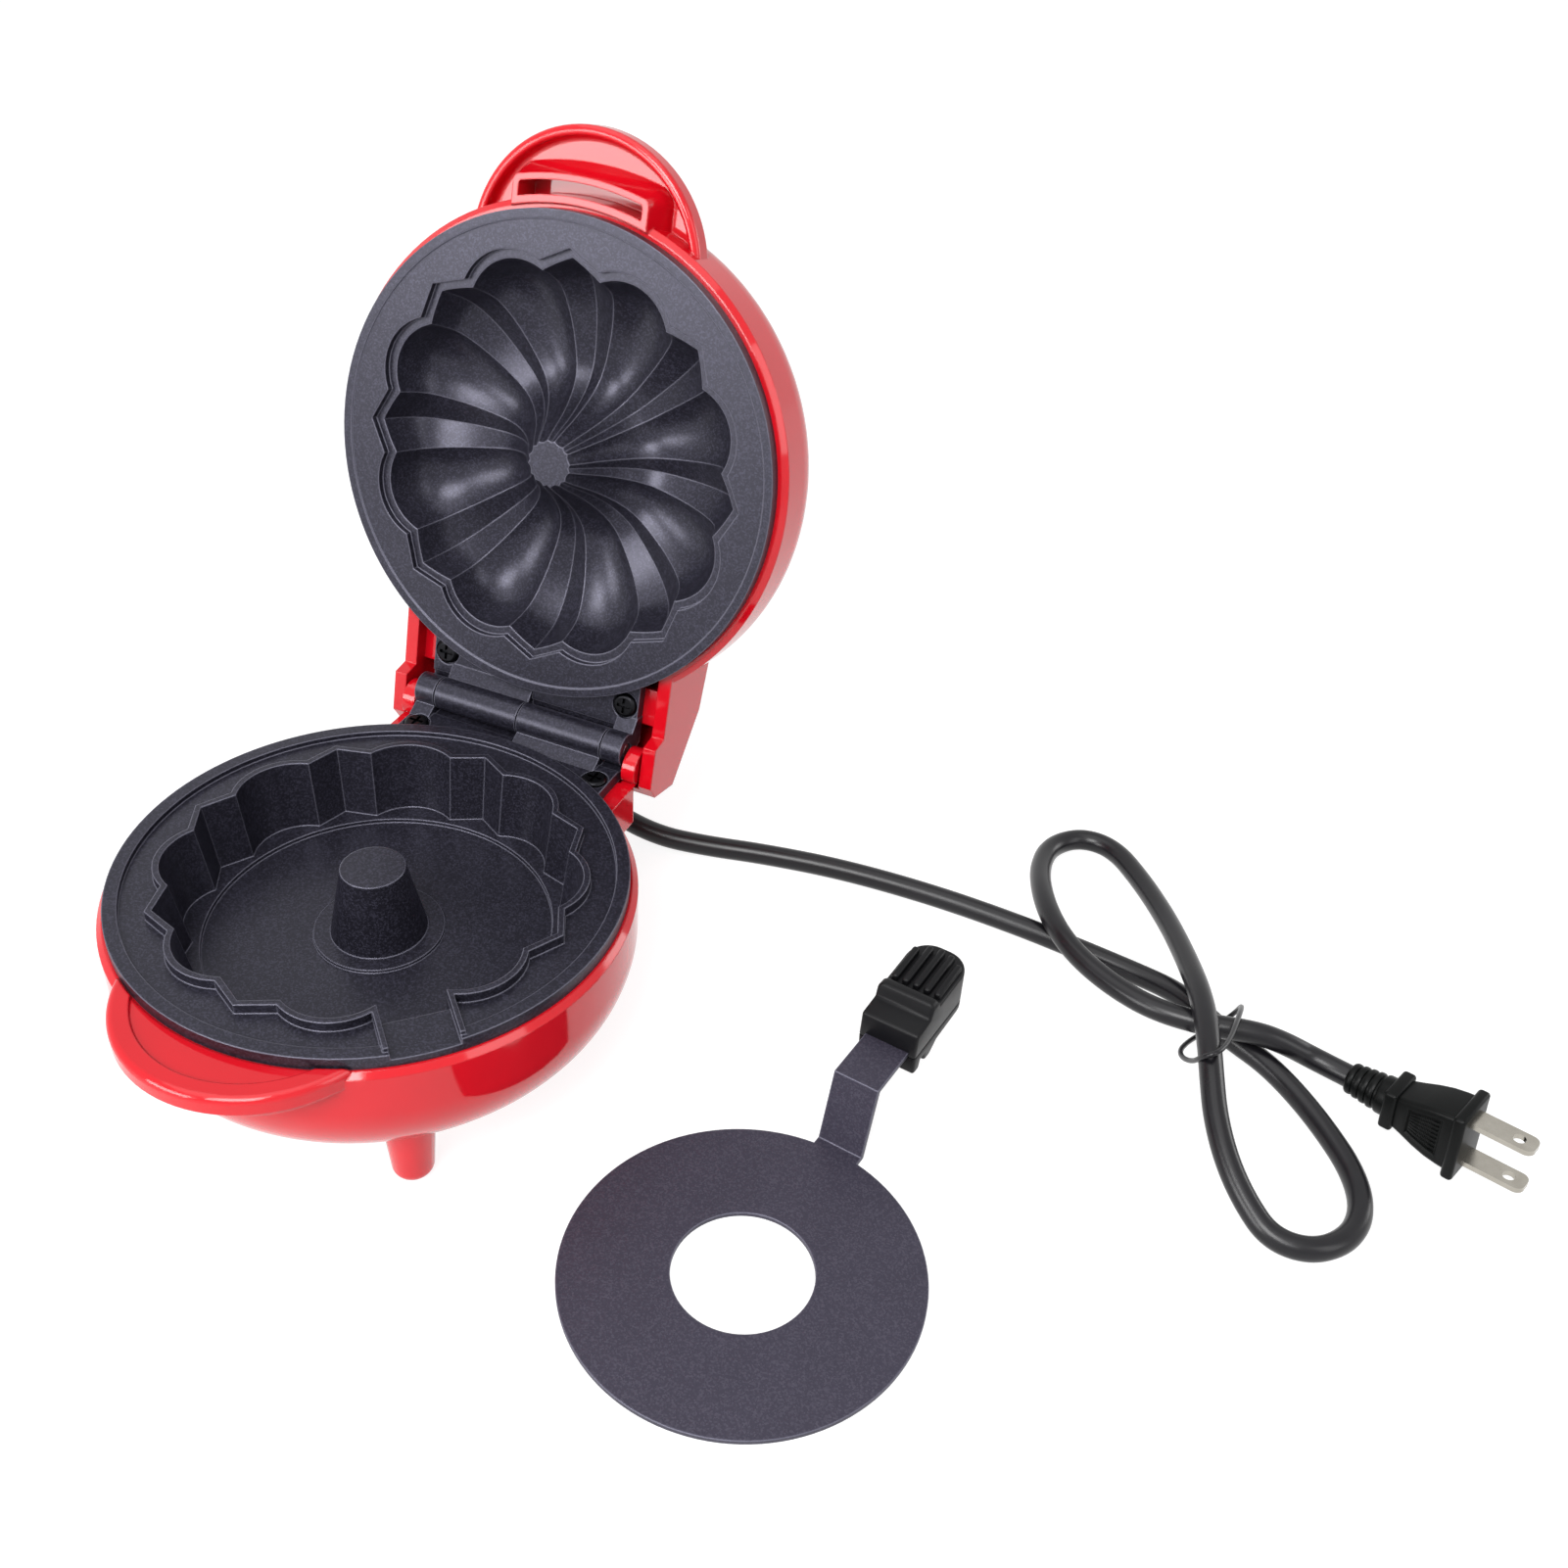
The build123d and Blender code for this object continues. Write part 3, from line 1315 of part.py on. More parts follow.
lid_pieces = {
    "lid_shell": lid_shell.part,
    "upper_plate": upper_plate.part,
    "upper_lug_screws": upper_lug_screws.part,
    "upper_heater": ring_heater(upper_heater_r, upper_heater_z),
    "upper_heater_pins": heater_pins(upper_heater_r, upper_heater_z),
    "upper_clamps": heater_clamps(upper_heater_r, upper_clamp_z, 1),
    "upper_clamp_screws": clamp_screws(upper_heater_r, upper_clamp_z + clamp_t, 1),
}
pieces = dict(fixed_pieces)
for name, piece in lid_pieces.items():
    pieces[name] = piece.rotate(hinge_axis, -open_angle)
os.makedirs("parts", exist_ok=True)
for name, piece in pieces.items():
    piece.label = name
    export_step(piece, f"parts/{name}.step")
    print(name, len(piece.solids()), "solids", round(piece.volume, 1), "mm3")
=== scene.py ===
import json
import math

import bmesh
import bpy
from mathutils import Matrix, Vector


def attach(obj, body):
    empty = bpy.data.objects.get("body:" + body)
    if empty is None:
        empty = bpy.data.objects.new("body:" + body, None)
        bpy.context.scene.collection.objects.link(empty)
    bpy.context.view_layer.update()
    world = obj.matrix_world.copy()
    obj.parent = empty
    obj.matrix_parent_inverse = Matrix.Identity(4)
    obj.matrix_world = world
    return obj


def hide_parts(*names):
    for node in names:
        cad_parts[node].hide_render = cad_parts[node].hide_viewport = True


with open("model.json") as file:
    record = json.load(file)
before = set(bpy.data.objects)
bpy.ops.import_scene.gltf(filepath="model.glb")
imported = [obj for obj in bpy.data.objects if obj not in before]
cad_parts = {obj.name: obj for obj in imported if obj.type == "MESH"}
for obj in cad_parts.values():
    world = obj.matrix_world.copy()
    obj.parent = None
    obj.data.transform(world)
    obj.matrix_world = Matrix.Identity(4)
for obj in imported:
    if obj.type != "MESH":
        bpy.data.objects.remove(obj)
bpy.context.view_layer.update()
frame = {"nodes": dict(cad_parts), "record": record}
nodes = frame["nodes"]
bpy.ops.object.select_all(action="DESELECT")
MM = 0.001


# ---- Camera: a 39 mm lens above and to the right of the maker, tilted a little ----
frame_pixels = 1601
focal_pixels = 1733
sensor_width = 36
camera_place = Vector((0.2106, -0.2625, 0.3298))
camera_yaw = 0.372
camera_pitch = 0.645
camera_roll = 0.07

camera_data = bpy.data.cameras.new("studio_camera")
camera_data.sensor_width = sensor_width
camera_data.lens = sensor_width * focal_pixels / frame_pixels
camera_data.clip_start = 0.01
camera = bpy.data.objects.new("studio_camera", camera_data)
bpy.context.scene.collection.objects.link(camera)
back = Vector((math.sin(camera_yaw) * math.cos(camera_pitch),
               -math.cos(camera_yaw) * math.cos(camera_pitch),
               math.sin(camera_pitch)))
level = Vector((math.cos(camera_yaw), math.sin(camera_yaw), 0))
upright = back.cross(level)
right = level * math.cos(camera_roll) + upright * math.sin(camera_roll)
up = upright * math.cos(camera_roll) - level * math.sin(camera_roll)
camera.matrix_world = Matrix.Translation(camera_place) @ Matrix((right, up, back)).transposed().to_4x4()
bpy.context.scene.camera = camera


# ---- Materials ----
# A colour Mix node's sockets: its share, its two colours and its result.
SHARE, FIRST, SECOND, MIXED = 0, 6, 7, 2
# How far the corners of moulded and coated pieces are rounded for the eye.
corner_round = 0.6 * MM


def colour(code):
    """An sRGB hex colour as linear RGBA."""
    parts = [int(code[i:i + 2], 16) / 255 for i in (1, 3, 5)]
    return [p / 12.92 if p <= 0.04045 else ((p + 0.055) / 1.055) ** 2.4 for p in parts] + [1]


def add(tree, kind, inputs=None, **settings):
    """A node with its settings; each named input takes a value, or a socket that is linked to it."""
    node = tree.nodes.new(kind)
    for name, value in settings.items():
        setattr(node, name, value)
    for name, value in (inputs or {}).items():
        if isinstance(value, bpy.types.NodeSocket):
            tree.links.new(value, node.inputs[name])
        else:
            node.inputs[name].default_value = value
    return node


def blank(name):
    """An empty material: its node tree, its shader and its Object coordinates."""
    material = bpy.data.materials.new(name)
    material.use_nodes = True
    tree = material.node_tree
    tree.nodes.clear()
    shader = add(tree, "ShaderNodeBsdfPrincipled")
    add(tree, "ShaderNodeOutputMaterial", {"Surface": shader.outputs["BSDF"]})
    place = add(tree, "ShaderNodeTexCoord").outputs["Object"]
    return material, tree, shader, place


def gloss_red_abs():
    """Moulded ABS, polished tool: deep glossy red. The eye gets sharp soft-box reflections, with the
    slight waviness of a moulded wall and a faint haze where it was handled."""
    material, tree, shader, place = blank("gloss_red_abs")
    wave_length = 22 * MM
    wave_height = 0.6 * MM
    hand_mark = 9 * MM
    flow = add(tree, "ShaderNodeTexNoise", {"Vector": place, "Scale": 1 / wave_length, "Detail": 2})
    tint = add(tree, "ShaderNodeMix", {SHARE: flow.outputs["Fac"], FIRST: colour("#B20715"),
                                       SECOND: colour("#C00B1A")}, data_type="RGBA")
    haze = add(tree, "ShaderNodeTexNoise", {"Vector": place, "Scale": 1 / hand_mark, "Detail": 5})
    sheen = add(tree, "ShaderNodeMapRange", {"Value": haze.outputs["Fac"], "To Min": 0.04, "To Max": 0.11})
    soft = add(tree, "ShaderNodeBevel", {"Radius": corner_round}, samples=4)
    wave = add(tree, "ShaderNodeBump", {"Height": flow.outputs["Fac"], "Normal": soft.outputs["Normal"],
                                        "Strength": 0.05, "Distance": wave_height})
    tree.links.new(tint.outputs[MIXED], shader.inputs["Base Color"])
    tree.links.new(sheen.outputs["Result"], shader.inputs["Roughness"])
    tree.links.new(wave.outputs["Normal"], shader.inputs["Normal"])
    shader.inputs["IOR"].default_value = 1.47
    return material


def nonstick_coat(name, dark, light, grain, rough):
    """Sprayed PTFE non-stick coat over cast aluminium or steel: blue-black satin with a fine mica speckle,
    and a
    painted highlight: the colour turns paler along the edges, so that each rim and rib shows as a fine light
    line.
    Real flakes are 0.1 mm; they are drawn at the grain's size so that they show in the render."""
    material, tree, shader, place = blank(name)
    spray_drop = 1.6 * grain
    spray_height = 0.08 * MM
    blotch_width = 14 * MM
    blotch_share = 0.12
    rough_spread = 0.06
    edge_starts, edge_full = 0.995, 0.86  # cosines of the turn from the face to its rounded corner
    flake = add(tree, "ShaderNodeTexVoronoi", {"Vector": place, "Scale": 1 / grain})
    spray = add(tree, "ShaderNodeTexNoise", {"Vector": place, "Scale": 1 / spray_drop, "Detail": 6})
    chance = add(tree, "ShaderNodeSeparateColor", {"Color": flake.outputs["Color"]})
    spark = add(tree, "ShaderNodeMapRange", {"Value": chance.outputs["Red"], "From Min": 0.45})
    blotch = add(tree, "ShaderNodeTexNoise", {"Vector": place, "Scale": 1 / blotch_width, "Detail": 3})
    tint = add(tree, "ShaderNodeMix", {SHARE: spark.outputs["Result"], FIRST: colour(dark),
                                       SECOND: colour(light)}, data_type="RGBA")
    cloud = add(tree, "ShaderNodeMix", {SHARE: blotch_share, FIRST: tint.outputs[MIXED],
                                        SECOND: blotch.outputs["Fac"]},
                data_type="RGBA", blend_type="SOFT_LIGHT")
    satin = add(tree, "ShaderNodeMapRange", {"Value": spray.outputs["Fac"], "To Min": rough - rough_spread,
                                             "To Max": rough + rough_spread})
    soft = add(tree, "ShaderNodeBevel", {"Radius": corner_round}, samples=6)
    facing = add(tree, "ShaderNodeNewGeometry").outputs["Normal"]
    turn = add(tree, "ShaderNodeVectorMath", {0: soft.outputs["Normal"], 1: facing}, operation="DOT_PRODUCT")
    # Painted highlight: along rims, ribs and creases, where the rounded-corner normal turns away from the
    # face, the coat's colour is mixed towards pale grey #72717F.
    edge = add(tree, "ShaderNodeMapRange", {"Value": turn.outputs["Value"], "From Min": edge_starts,
                                            "From Max": edge_full, "To Max": 0.75})
    painted_edge_highlight = add(tree, "ShaderNodeMix", {SHARE: edge.outputs["Result"], FIRST: cloud.outputs[MIXED],
                                       SECOND: colour("#72717F")}, data_type="RGBA")
    tooth = add(tree, "ShaderNodeBump", {"Height": spray.outputs["Fac"], "Normal": soft.outputs["Normal"],
                                         "Strength": 0.2, "Distance": spray_height})
    tree.links.new(painted_edge_highlight.outputs[MIXED], shader.inputs["Base Color"])
    tree.links.new(satin.outputs["Result"], shader.inputs["Roughness"])
    tree.links.new(tooth.outputs["Normal"], shader.inputs["Normal"])
    shader.inputs["Metallic"].default_value = 0.15
    shader.inputs["IOR"].default_value = 1.5
    shader.inputs["Specular Tint"].default_value = colour("#D9D8EC")
    return material


def grained_plastic(name, shade, worn, grain, depth, rough, gleam):
    """Moulded plastic from an eroded tool: a fine even grain, a little paler where it has been rubbed. The
    tool's pits swallow some of the shine, which the gleam sets."""
    material, tree, shader, place = blank(name)
    rub_width = 7 * MM
    rough_spread = 0.07
    erosion = add(tree, "ShaderNodeTexNoise", {"Vector": place, "Scale": 1 / grain, "Detail": 4})
    rub = add(tree, "ShaderNodeTexNoise", {"Vector": place, "Scale": 1 / rub_width, "Detail": 4})
    tint = add(tree, "ShaderNodeMix", {SHARE: rub.outputs["Fac"], FIRST: colour(shade),
                                       SECOND: colour(worn)}, data_type="RGBA")
    satin = add(tree, "ShaderNodeMapRange", {"Value": rub.outputs["Fac"], "To Min": rough - rough_spread,
                                             "To Max": rough + rough_spread})
    tooth = add(tree, "ShaderNodeBump", {"Height": erosion.outputs["Fac"], "Strength": 0.4,
                                         "Distance": depth})
    tree.links.new(tint.outputs[MIXED], shader.inputs["Base Color"])
    tree.links.new(satin.outputs["Result"], shader.inputs["Roughness"])
    tree.links.new(tooth.outputs["Normal"], shader.inputs["Normal"])
    shader.inputs["IOR"].default_value = 1.52
    shader.inputs["Specular IOR Level"].default_value = gleam
    return material


def plated_metal(name, shade, dull, brush, rough):
    """Drawn or turned metal, plated: clear reflections broken by fine drawing lines and a few dull spots."""
    material, tree, shader, place = blank(name)
    line_length = 12 * brush
    line_depth = 0.05 * MM
    spot_width = 3 * MM
    along = add(tree, "ShaderNodeMapping", {"Vector": place,
                                            "Scale": (1 / brush, 1 / line_length, 1 / brush)})
    lines = add(tree, "ShaderNodeTexNoise", {"Vector": along.outputs["Vector"], "Scale": 1, "Detail": 3})
    spots = add(tree, "ShaderNodeTexNoise", {"Vector": place, "Scale": 1 / spot_width, "Detail": 5})
    tint = add(tree, "ShaderNodeMix", {SHARE: spots.outputs["Fac"], FIRST: colour(shade),
                                       SECOND: colour(dull)}, data_type="RGBA")
    satin = add(tree, "ShaderNodeMapRange", {"Value": lines.outputs["Fac"], "To Min": rough - 0.04,
                                             "To Max": rough + 0.05})
    scratch = add(tree, "ShaderNodeBump", {"Height": lines.outputs["Fac"], "Strength": 0.04,
                                           "Distance": line_depth})
    tree.links.new(tint.outputs[MIXED], shader.inputs["Base Color"])
    tree.links.new(satin.outputs["Result"], shader.inputs["Roughness"])
    tree.links.new(scratch.outputs["Normal"], shader.inputs["Normal"])
    shader.inputs["Metallic"].default_value = 1
    return material


finishes = {
    "red_plastic": gloss_red_abs(),
    "coated_plate": nonstick_coat("ptfe_on_cast_aluminium", dark="#18171E", light="#2F2E39",
                                  grain=0.4 * MM, rough=0.33),
    "coated_sheet": nonstick_coat("ptfe_on_steel_sheet", dark="#2B2833", light="#3B3843",
                                  grain=0.4 * MM, rough=0.42),
    "steel": plated_metal("zinc_plated_steel", shade="#C3C4C6", dull="#9B9DA1",
                          brush=0.2 * MM, rough=0.3),
    "black_screw": plated_metal("black_zinc_steel", shade="#2A2A2D", dull="#161618",
                                brush=0.2 * MM, rough=0.36),
    "element": plated_metal("aluminium_sheath", shade="#A9ABAD", dull="#86888B",
                            brush=0.3 * MM, rough=0.42),
    "aluminium_sheet": plated_metal("mill_aluminium", shade="#C9CBCD", dull="#B0B3B6",
                                    brush=0.3 * MM, rough=0.36),
    "black_plastic": grained_plastic("moulded_black_nylon", shade="#08080A", worn="#101012",
                                     grain=0.5 * MM, depth=0.05 * MM, rough=0.4, gleam=0.14),
    "pale_plastic": grained_plastic("moulded_pale_nylon", shade="#E2DDCF", worn="#D6D0C0",
                                    grain=0.6 * MM, depth=0.06 * MM, rough=0.5, gleam=0.4),
    "cord_pvc": grained_plastic("extruded_black_pvc", shade="#0B0A0D", worn="#151418",
                                grain=0.8 * MM, depth=0.03 * MM, rough=0.3, gleam=0.3),
    "plug_pvc": grained_plastic("moulded_black_pvc", shade="#050606", worn="#0B0C0C",
                                grain=0.6 * MM, depth=0.03 * MM, rough=0.36, gleam=0.1),
    "nickel": plated_metal("nickel_plated_brass", shade="#B5B1A8", dull="#9C978D",
                           brush=0.5 * MM, rough=0.24),
}

for row in frame["record"]["subparts"]:
    shown = nodes[row["node"]].data.materials
    for index in range(len(shown)):
        shown[index] = finishes[row["material_slot"]]


# ---- Ways to shape a piece: outlines and sections are in millimetres, widths and radii in metres ----
same_point = 0.002 * MM
sharp_crease = math.radians(40)


def start_edit(name):
    """Names the new primitive and opens it for editing with everything selected."""
    piece = bpy.context.object
    piece.name = name
    bpy.ops.object.mode_set(mode="EDIT")
    bpy.ops.mesh.select_mode(type="VERT")
    bpy.ops.mesh.select_all(action="SELECT")
    return piece


def pick(piece, kind, test):
    """Selects only the faces or edges of the open mesh that pass the test."""
    bpy.ops.mesh.select_all(action="DESELECT")
    bpy.ops.mesh.select_mode(type=kind)
    mesh = bmesh.from_edit_mesh(piece.data)
    for item in (mesh.faces if kind == "FACE" else mesh.edges):
        item.select_set(test(item))
    mesh.select_flush_mode()
    bmesh.update_edit_mesh(piece.data)


def close_edit():
    """Merges doubled corners, turns the faces outwards and ends the editing."""
    bpy.ops.mesh.select_all(action="SELECT")
    bpy.ops.mesh.remove_doubles(threshold=same_point)
    bpy.ops.mesh.normals_make_consistent(inside=False)
    bpy.ops.object.mode_set(mode="OBJECT")


def traced(name, outline, across=0):
    """A line of (along, high) points, drawn point by point from one corner and left selected."""
    outline = [(along * MM, high * MM) for along, high in outline]
    bpy.ops.mesh.primitive_plane_add(size=1 * MM)
    piece = start_edit(name)
    bpy.ops.mesh.merge(type="CENTER")
    bpy.ops.transform.translate(value=(outline[0][0], across, outline[0][1]))
    for before, here in zip(outline, outline[1:]):
        step = (here[0] - before[0], 0, here[1] - before[1])
        bpy.ops.mesh.extrude_region_move(TRANSFORM_OT_translate={"value": step})
    bpy.ops.mesh.select_all(action="SELECT")
    return piece


def turned(name, profile):
    """A round piece about X: its profile of (along, radius) points, spun."""
    piece = traced(name, profile)
    bpy.ops.mesh.spin(steps=40, angle=2 * math.pi, center=(0, 0, 0), axis=(1, 0, 0))
    close_edit()
    return piece


def side_cut(name, outline, width):
    """A slab across Y: its outline of (along, high) points, filled and pulled out."""
    piece = traced(name, outline, across=-width / 2)
    bpy.ops.mesh.edge_face_add()
    bpy.ops.mesh.extrude_region_move(TRANSFORM_OT_translate={"value": (0, width, 0)})
    bpy.ops.mesh.select_all(action="SELECT")
    bpy.ops.mesh.normals_make_consistent(inside=False)
    return piece


def drawn_out(name, sections):
    """A four-sided piece along X: a plate pushed on from section to section of (along, wide, high)."""
    sections = [(along * MM, wide * MM, high * MM) for along, wide, high in sections]
    along, wide, high = sections[0]
    bpy.ops.mesh.primitive_plane_add(size=1)
    piece = start_edit(name)
    bpy.ops.transform.rotate(value=math.pi / 2, orient_axis="Y", center_override=(0, 0, 0))
    bpy.ops.transform.resize(value=(1, wide, high), center_override=(0, 0, 0))
    bpy.ops.transform.translate(value=(along, 0, 0))
    for x, y, z in sections[1:]:
        bpy.ops.mesh.extrude_region_move(TRANSFORM_OT_translate={"value": (x - along, 0, 0)})
        bpy.ops.transform.resize(value=(1, y / wide, z / high), center_override=(x, 0, 0))
        along, wide, high = x, y, z
    return piece


def hold(pieces, main):
    """Selects only these pieces, with the main one active."""
    bpy.ops.object.select_all(action="DESELECT")
    for piece in pieces:
        piece.select_set(True)
    bpy.context.view_layer.objects.active = main


def seat(piece, place, axes, finish):
    """Puts the held piece in its place, turned to the three axes, and gives it its finish."""
    piece.matrix_world = Matrix.Translation(place) @ Matrix(axes).transposed().to_4x4()
    bpy.ops.object.transform_apply(location=True, rotation=True, scale=True)
    bpy.ops.object.shade_smooth_by_angle(angle=sharp_crease)
    piece.data.materials.append(finishes[finish])


# ---- Moulded plug: ribbed tail, bulged body with knurled pads, and two flanges ----
plug_face = Vector((270.0, 78.6, 10.6)) * MM
plug_turn = math.radians(-20)
plug_tilt = math.radians(6)
plug_length = 33.3  # in millimetres, as its sections


def plug_tail():
    """The tail: ribs that grow towards the body, each with its chamfer, crest and groove."""
    rib_count, rib_pitch, first_rib = 4, 2.1, 0.6
    first_crest, crest_growth = 4.3, 0.25
    rib = [(0, 0.1), (0.35, 0), (0.95, 0), (1.3, 0.15), (1.4, 0.65), (1.95, 0.6)]
    profile = [(0, 0), (0, 3.5), (0.25, 3.95)]
    for k in range(rib_count):
        start = first_rib + k * rib_pitch
        crest = first_crest + k * crest_growth
        profile += [(start + along, crest - drop) for along, drop in rib]
    profile += [(9.2, 5.2), (9.6, 5.35), (12, 5.4), (12, 0)]
    return turned("plug_tail", profile)


def plug_flange(name, back, front, wide, high, edge_round):
    """A flat plate across X with rounded edges, all in millimetres."""
    piece = drawn_out(name, [(back, wide, high), (front, wide, high)])
    bpy.ops.mesh.select_all(action="SELECT")
    bpy.ops.mesh.bevel(offset=edge_round * MM, segments=4, affect="EDGES")
    close_edit()
    return piece


def plug_bulge():
    """The body, bulging towards the front flange, with a sunk knurled pad on either side."""
    sections = [(14.6, 9.6, 10.2), (17.6, 10.6, 11.8), (21.2, 11.6, 14.2), (24.8, 12.2, 16.2),
                (28.4, 12.4, 17.4), (30.6, 12.4, 17.8)]
    edge_round = 1.3 * MM
    pad_start, pad_end = 18 * MM, 28 * MM
    smallest_flat = 8 * MM * MM
    runs_along, faces_out = 0.8, 0.9  # least cosines to X and to Y
    pad_border, pad_wall, pad_depth = 0.9 * MM, 0.35 * MM, 0.6 * MM
    knurl_border, knurl_height = 0.3 * MM, 0.25 * MM
    body = drawn_out("plug_waist", sections)
    pick(body, "EDGE", lambda edge: abs((edge.verts[0].co - edge.verts[1].co).normalized().x) > runs_along)
    bpy.ops.mesh.bevel(offset=edge_round, segments=4, affect="EDGES")
    bpy.ops.mesh.select_all(action="SELECT")
    bpy.ops.mesh.normals_make_consistent(inside=False)
    for side in (-1, 1):
        pick(body, "FACE", lambda face: face.normal.y * side > faces_out and face.calc_area() > smallest_flat
             and pad_start < face.calc_center_median().x < pad_end)
        bpy.ops.mesh.inset(thickness=pad_border, depth=0)
        bpy.ops.mesh.inset(thickness=pad_wall, depth=-pad_depth)
        bpy.ops.mesh.inset(thickness=knurl_border, depth=0)
        bpy.ops.mesh.subdivide(number_cuts=7)
        bpy.ops.mesh.select_mode(type="FACE")
        bpy.ops.mesh.poke(offset=knurl_height)
    close_edit()
    return body


def moulded_plug():
    """The whole plug in one piece, lying at the end of the lead."""
    tail = plug_tail()
    rear = plug_flange("plug_rear_flange", back=11.5, front=15.1, wide=11.6, high=12.0, edge_round=0.9)
    body = plug_bulge()
    plug = plug_flange("plug_front_flange", back=30.1, front=plug_length, wide=15.0, high=20.5,
                       edge_round=1.0)
    hold([tail, rear, body, plug], plug)
    bpy.ops.object.join()
    plug.name = "moulded_plug"
    forward = Vector((math.cos(plug_turn) * math.cos(plug_tilt),
                      math.sin(plug_turn) * math.cos(plug_tilt),
                      math.sin(plug_tilt)))
    sideways = Vector((-math.sin(plug_turn), math.cos(plug_turn), 0))
    tail_end = plug_face - forward * plug_length * MM
    seat(plug, tail_end, (forward, sideways, forward.cross(sideways)), "plug_pvc")
    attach(plug, "base")
    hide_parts("plug_body")
    bpy.ops.object.select_all(action="DESELECT")
    return plug


# ---- Thumb grip of the lifting tool: a stepped block with ribs, over a thinner under-half ----
grip_place = Vector((119.2, -32.7, 19.5)) * MM
grip_turn = math.radians(82.2)
grip_front = 66 * MM
grip_width = 16.3 * MM
grip_back, grip_parting = 31, -0.3  # in millimetres, as its outlines
in_line = 0.1 * MM


def keeps_side(edge):
    """True for an edge that runs along one side of a slab, not across it."""
    return abs(edge.verts[0].co.y - edge.verts[1].co.y) < in_line


def round_back(piece):
    """Rounds the slab's two back corners, seen from above."""
    back_edge = grip_back * MM - in_line
    corner_radius = 6.8 * MM
    pick(piece, "EDGE", lambda edge: keeps_side(edge) and all(end.co.x > back_edge for end in edge.verts))
    bpy.ops.mesh.bevel(offset=corner_radius, segments=9, affect="EDGES", clamp_overlap=False)


def soften(piece, parting):
    """Rounds the sharp edges; those at the parting line only a little."""
    outer_round, parting_round = 0.8 * MM, 0.25 * MM
    same_level = 0.05 * MM
    sharpest_left = math.radians(24)

    def at_parting(edge):
        return all(abs(corner.co.z - parting * MM) < same_level for corner in edge.verts)

    def sharp(edge):
        return edge.is_manifold and edge.calc_face_angle() > sharpest_left

    pick(piece, "EDGE", lambda edge: sharp(edge) and not at_parting(edge))
    bpy.ops.mesh.bevel(offset=outer_round, segments=4, affect="EDGES", clamp_overlap=False)
    pick(piece, "EDGE", lambda edge: sharp(edge) and at_parting(edge))
    bpy.ops.mesh.bevel(offset=parting_round, segments=2, affect="EDGES", clamp_overlap=False)
    close_edit()


def seat_grip(piece, node):
    """Turns a grip half to the tool's strip and hands it in for the solid."""
    along = Vector((math.cos(grip_turn), math.sin(grip_turn), 0))
    across = Vector((-math.sin(grip_turn), math.cos(grip_turn), 0))
    hold([piece], piece)
    seat(piece, grip_place + along * grip_front, (along, across, Vector((0, 0, 1))), "black_plastic")
    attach(piece, "lifter")
    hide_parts(node)
    bpy.ops.object.select_all(action="DESELECT")


def grip_rib(row, end):
    """One round rib of the thumb pad, so many rows from the middle, rising a little to its end."""
    rib_start, rib_foot, rib_crest = 13.5, 8.4, 11.0
    end_foot, crest_slope = 9.2, 0.05
    rib_width, rib_round, rib_spacing = 2.0 * MM, 0.8 * MM, 3.1 * MM
    end_crest = rib_crest + crest_slope * (end - rib_start)
    outline = [(rib_start, rib_foot), (rib_start, rib_crest), (end, end_crest), (end, end_foot)]
    rib = side_cut("grip_rib", outline, rib_width)
    bpy.ops.mesh.bevel(offset=rib_round, segments=4, affect="EDGES")
    bpy.ops.mesh.select_all(action="SELECT")
    bpy.ops.transform.translate(value=(0, row * rib_spacing, 0))
    close_edit()
    return rib


def thumb_grip():
    """The upper half: a tread, a round-shouldered ridge and a thumb pad with five ribs."""
    outline = [(0, 0), (0.6, 7.3), (7.2, 7.9), (8.4, 11.9), (11.4, 11.6), (12.4, 9.3),
               (grip_back, 10.2), (grip_back, 0)]
    ridge_level, shoulder_round = 11 * MM, 1.9 * MM
    rib_ends = {-2: 26.2, -1: 28.4, 0: 29, 1: 28.4, 2: 26.2}
    block = side_cut("thumb_grip", outline, grip_width)
    pick(block, "EDGE", lambda edge: keeps_side(edge) and all(end.co.z > ridge_level for end in edge.verts))
    bpy.ops.mesh.bevel(offset=shoulder_round, segments=5, affect="EDGES")
    round_back(block)
    soften(block, 0)
    ribs = [grip_rib(row, end) for row, end in rib_ends.items()]
    hold(ribs + [block], block)
    bpy.ops.object.join()
    seat_grip(block, "grip_top")


def grip_underside():
    """The lower half: two stops under the tread and a slim back."""
    outline = [(0, grip_parting), (0.5, -6), (3.6, -6), (4.2, -3.4), (6.0, -3.4), (6.6, -6), (9.4, -6),
               (13, -3.6), (grip_back, -2.6), (grip_back, grip_parting)]
    block = side_cut("grip_underside", outline, grip_width)
    round_back(block)
    soften(block, grip_parting)
    seat_grip(block, "grip_bottom")


thumb_grip()
grip_underside()


# ---- Wire tie: a coated wire bent round the three strands ----
tie_width = 1.4 * MM
tie_points = [
    (204.4, 63.5, 23.8), (202.0, 63.8, 21.5), (200.2, 67.0, 16.0), (197.4, 71.6, 11.5), (195.8, 76.6, 8.8),
    (196.4, 83.6, 5.5), (199, 93.7, 1.1), (204, 102.1, 1.1), (206.4, 103.0, 5.0), (207.4, 100.0, 10.5),
    (207.6, 91.9, 15.6), (207.5, 83.4, 18.6), (207.3, 75.0, 20.8), (206.3, 67.0, 23.3),
]


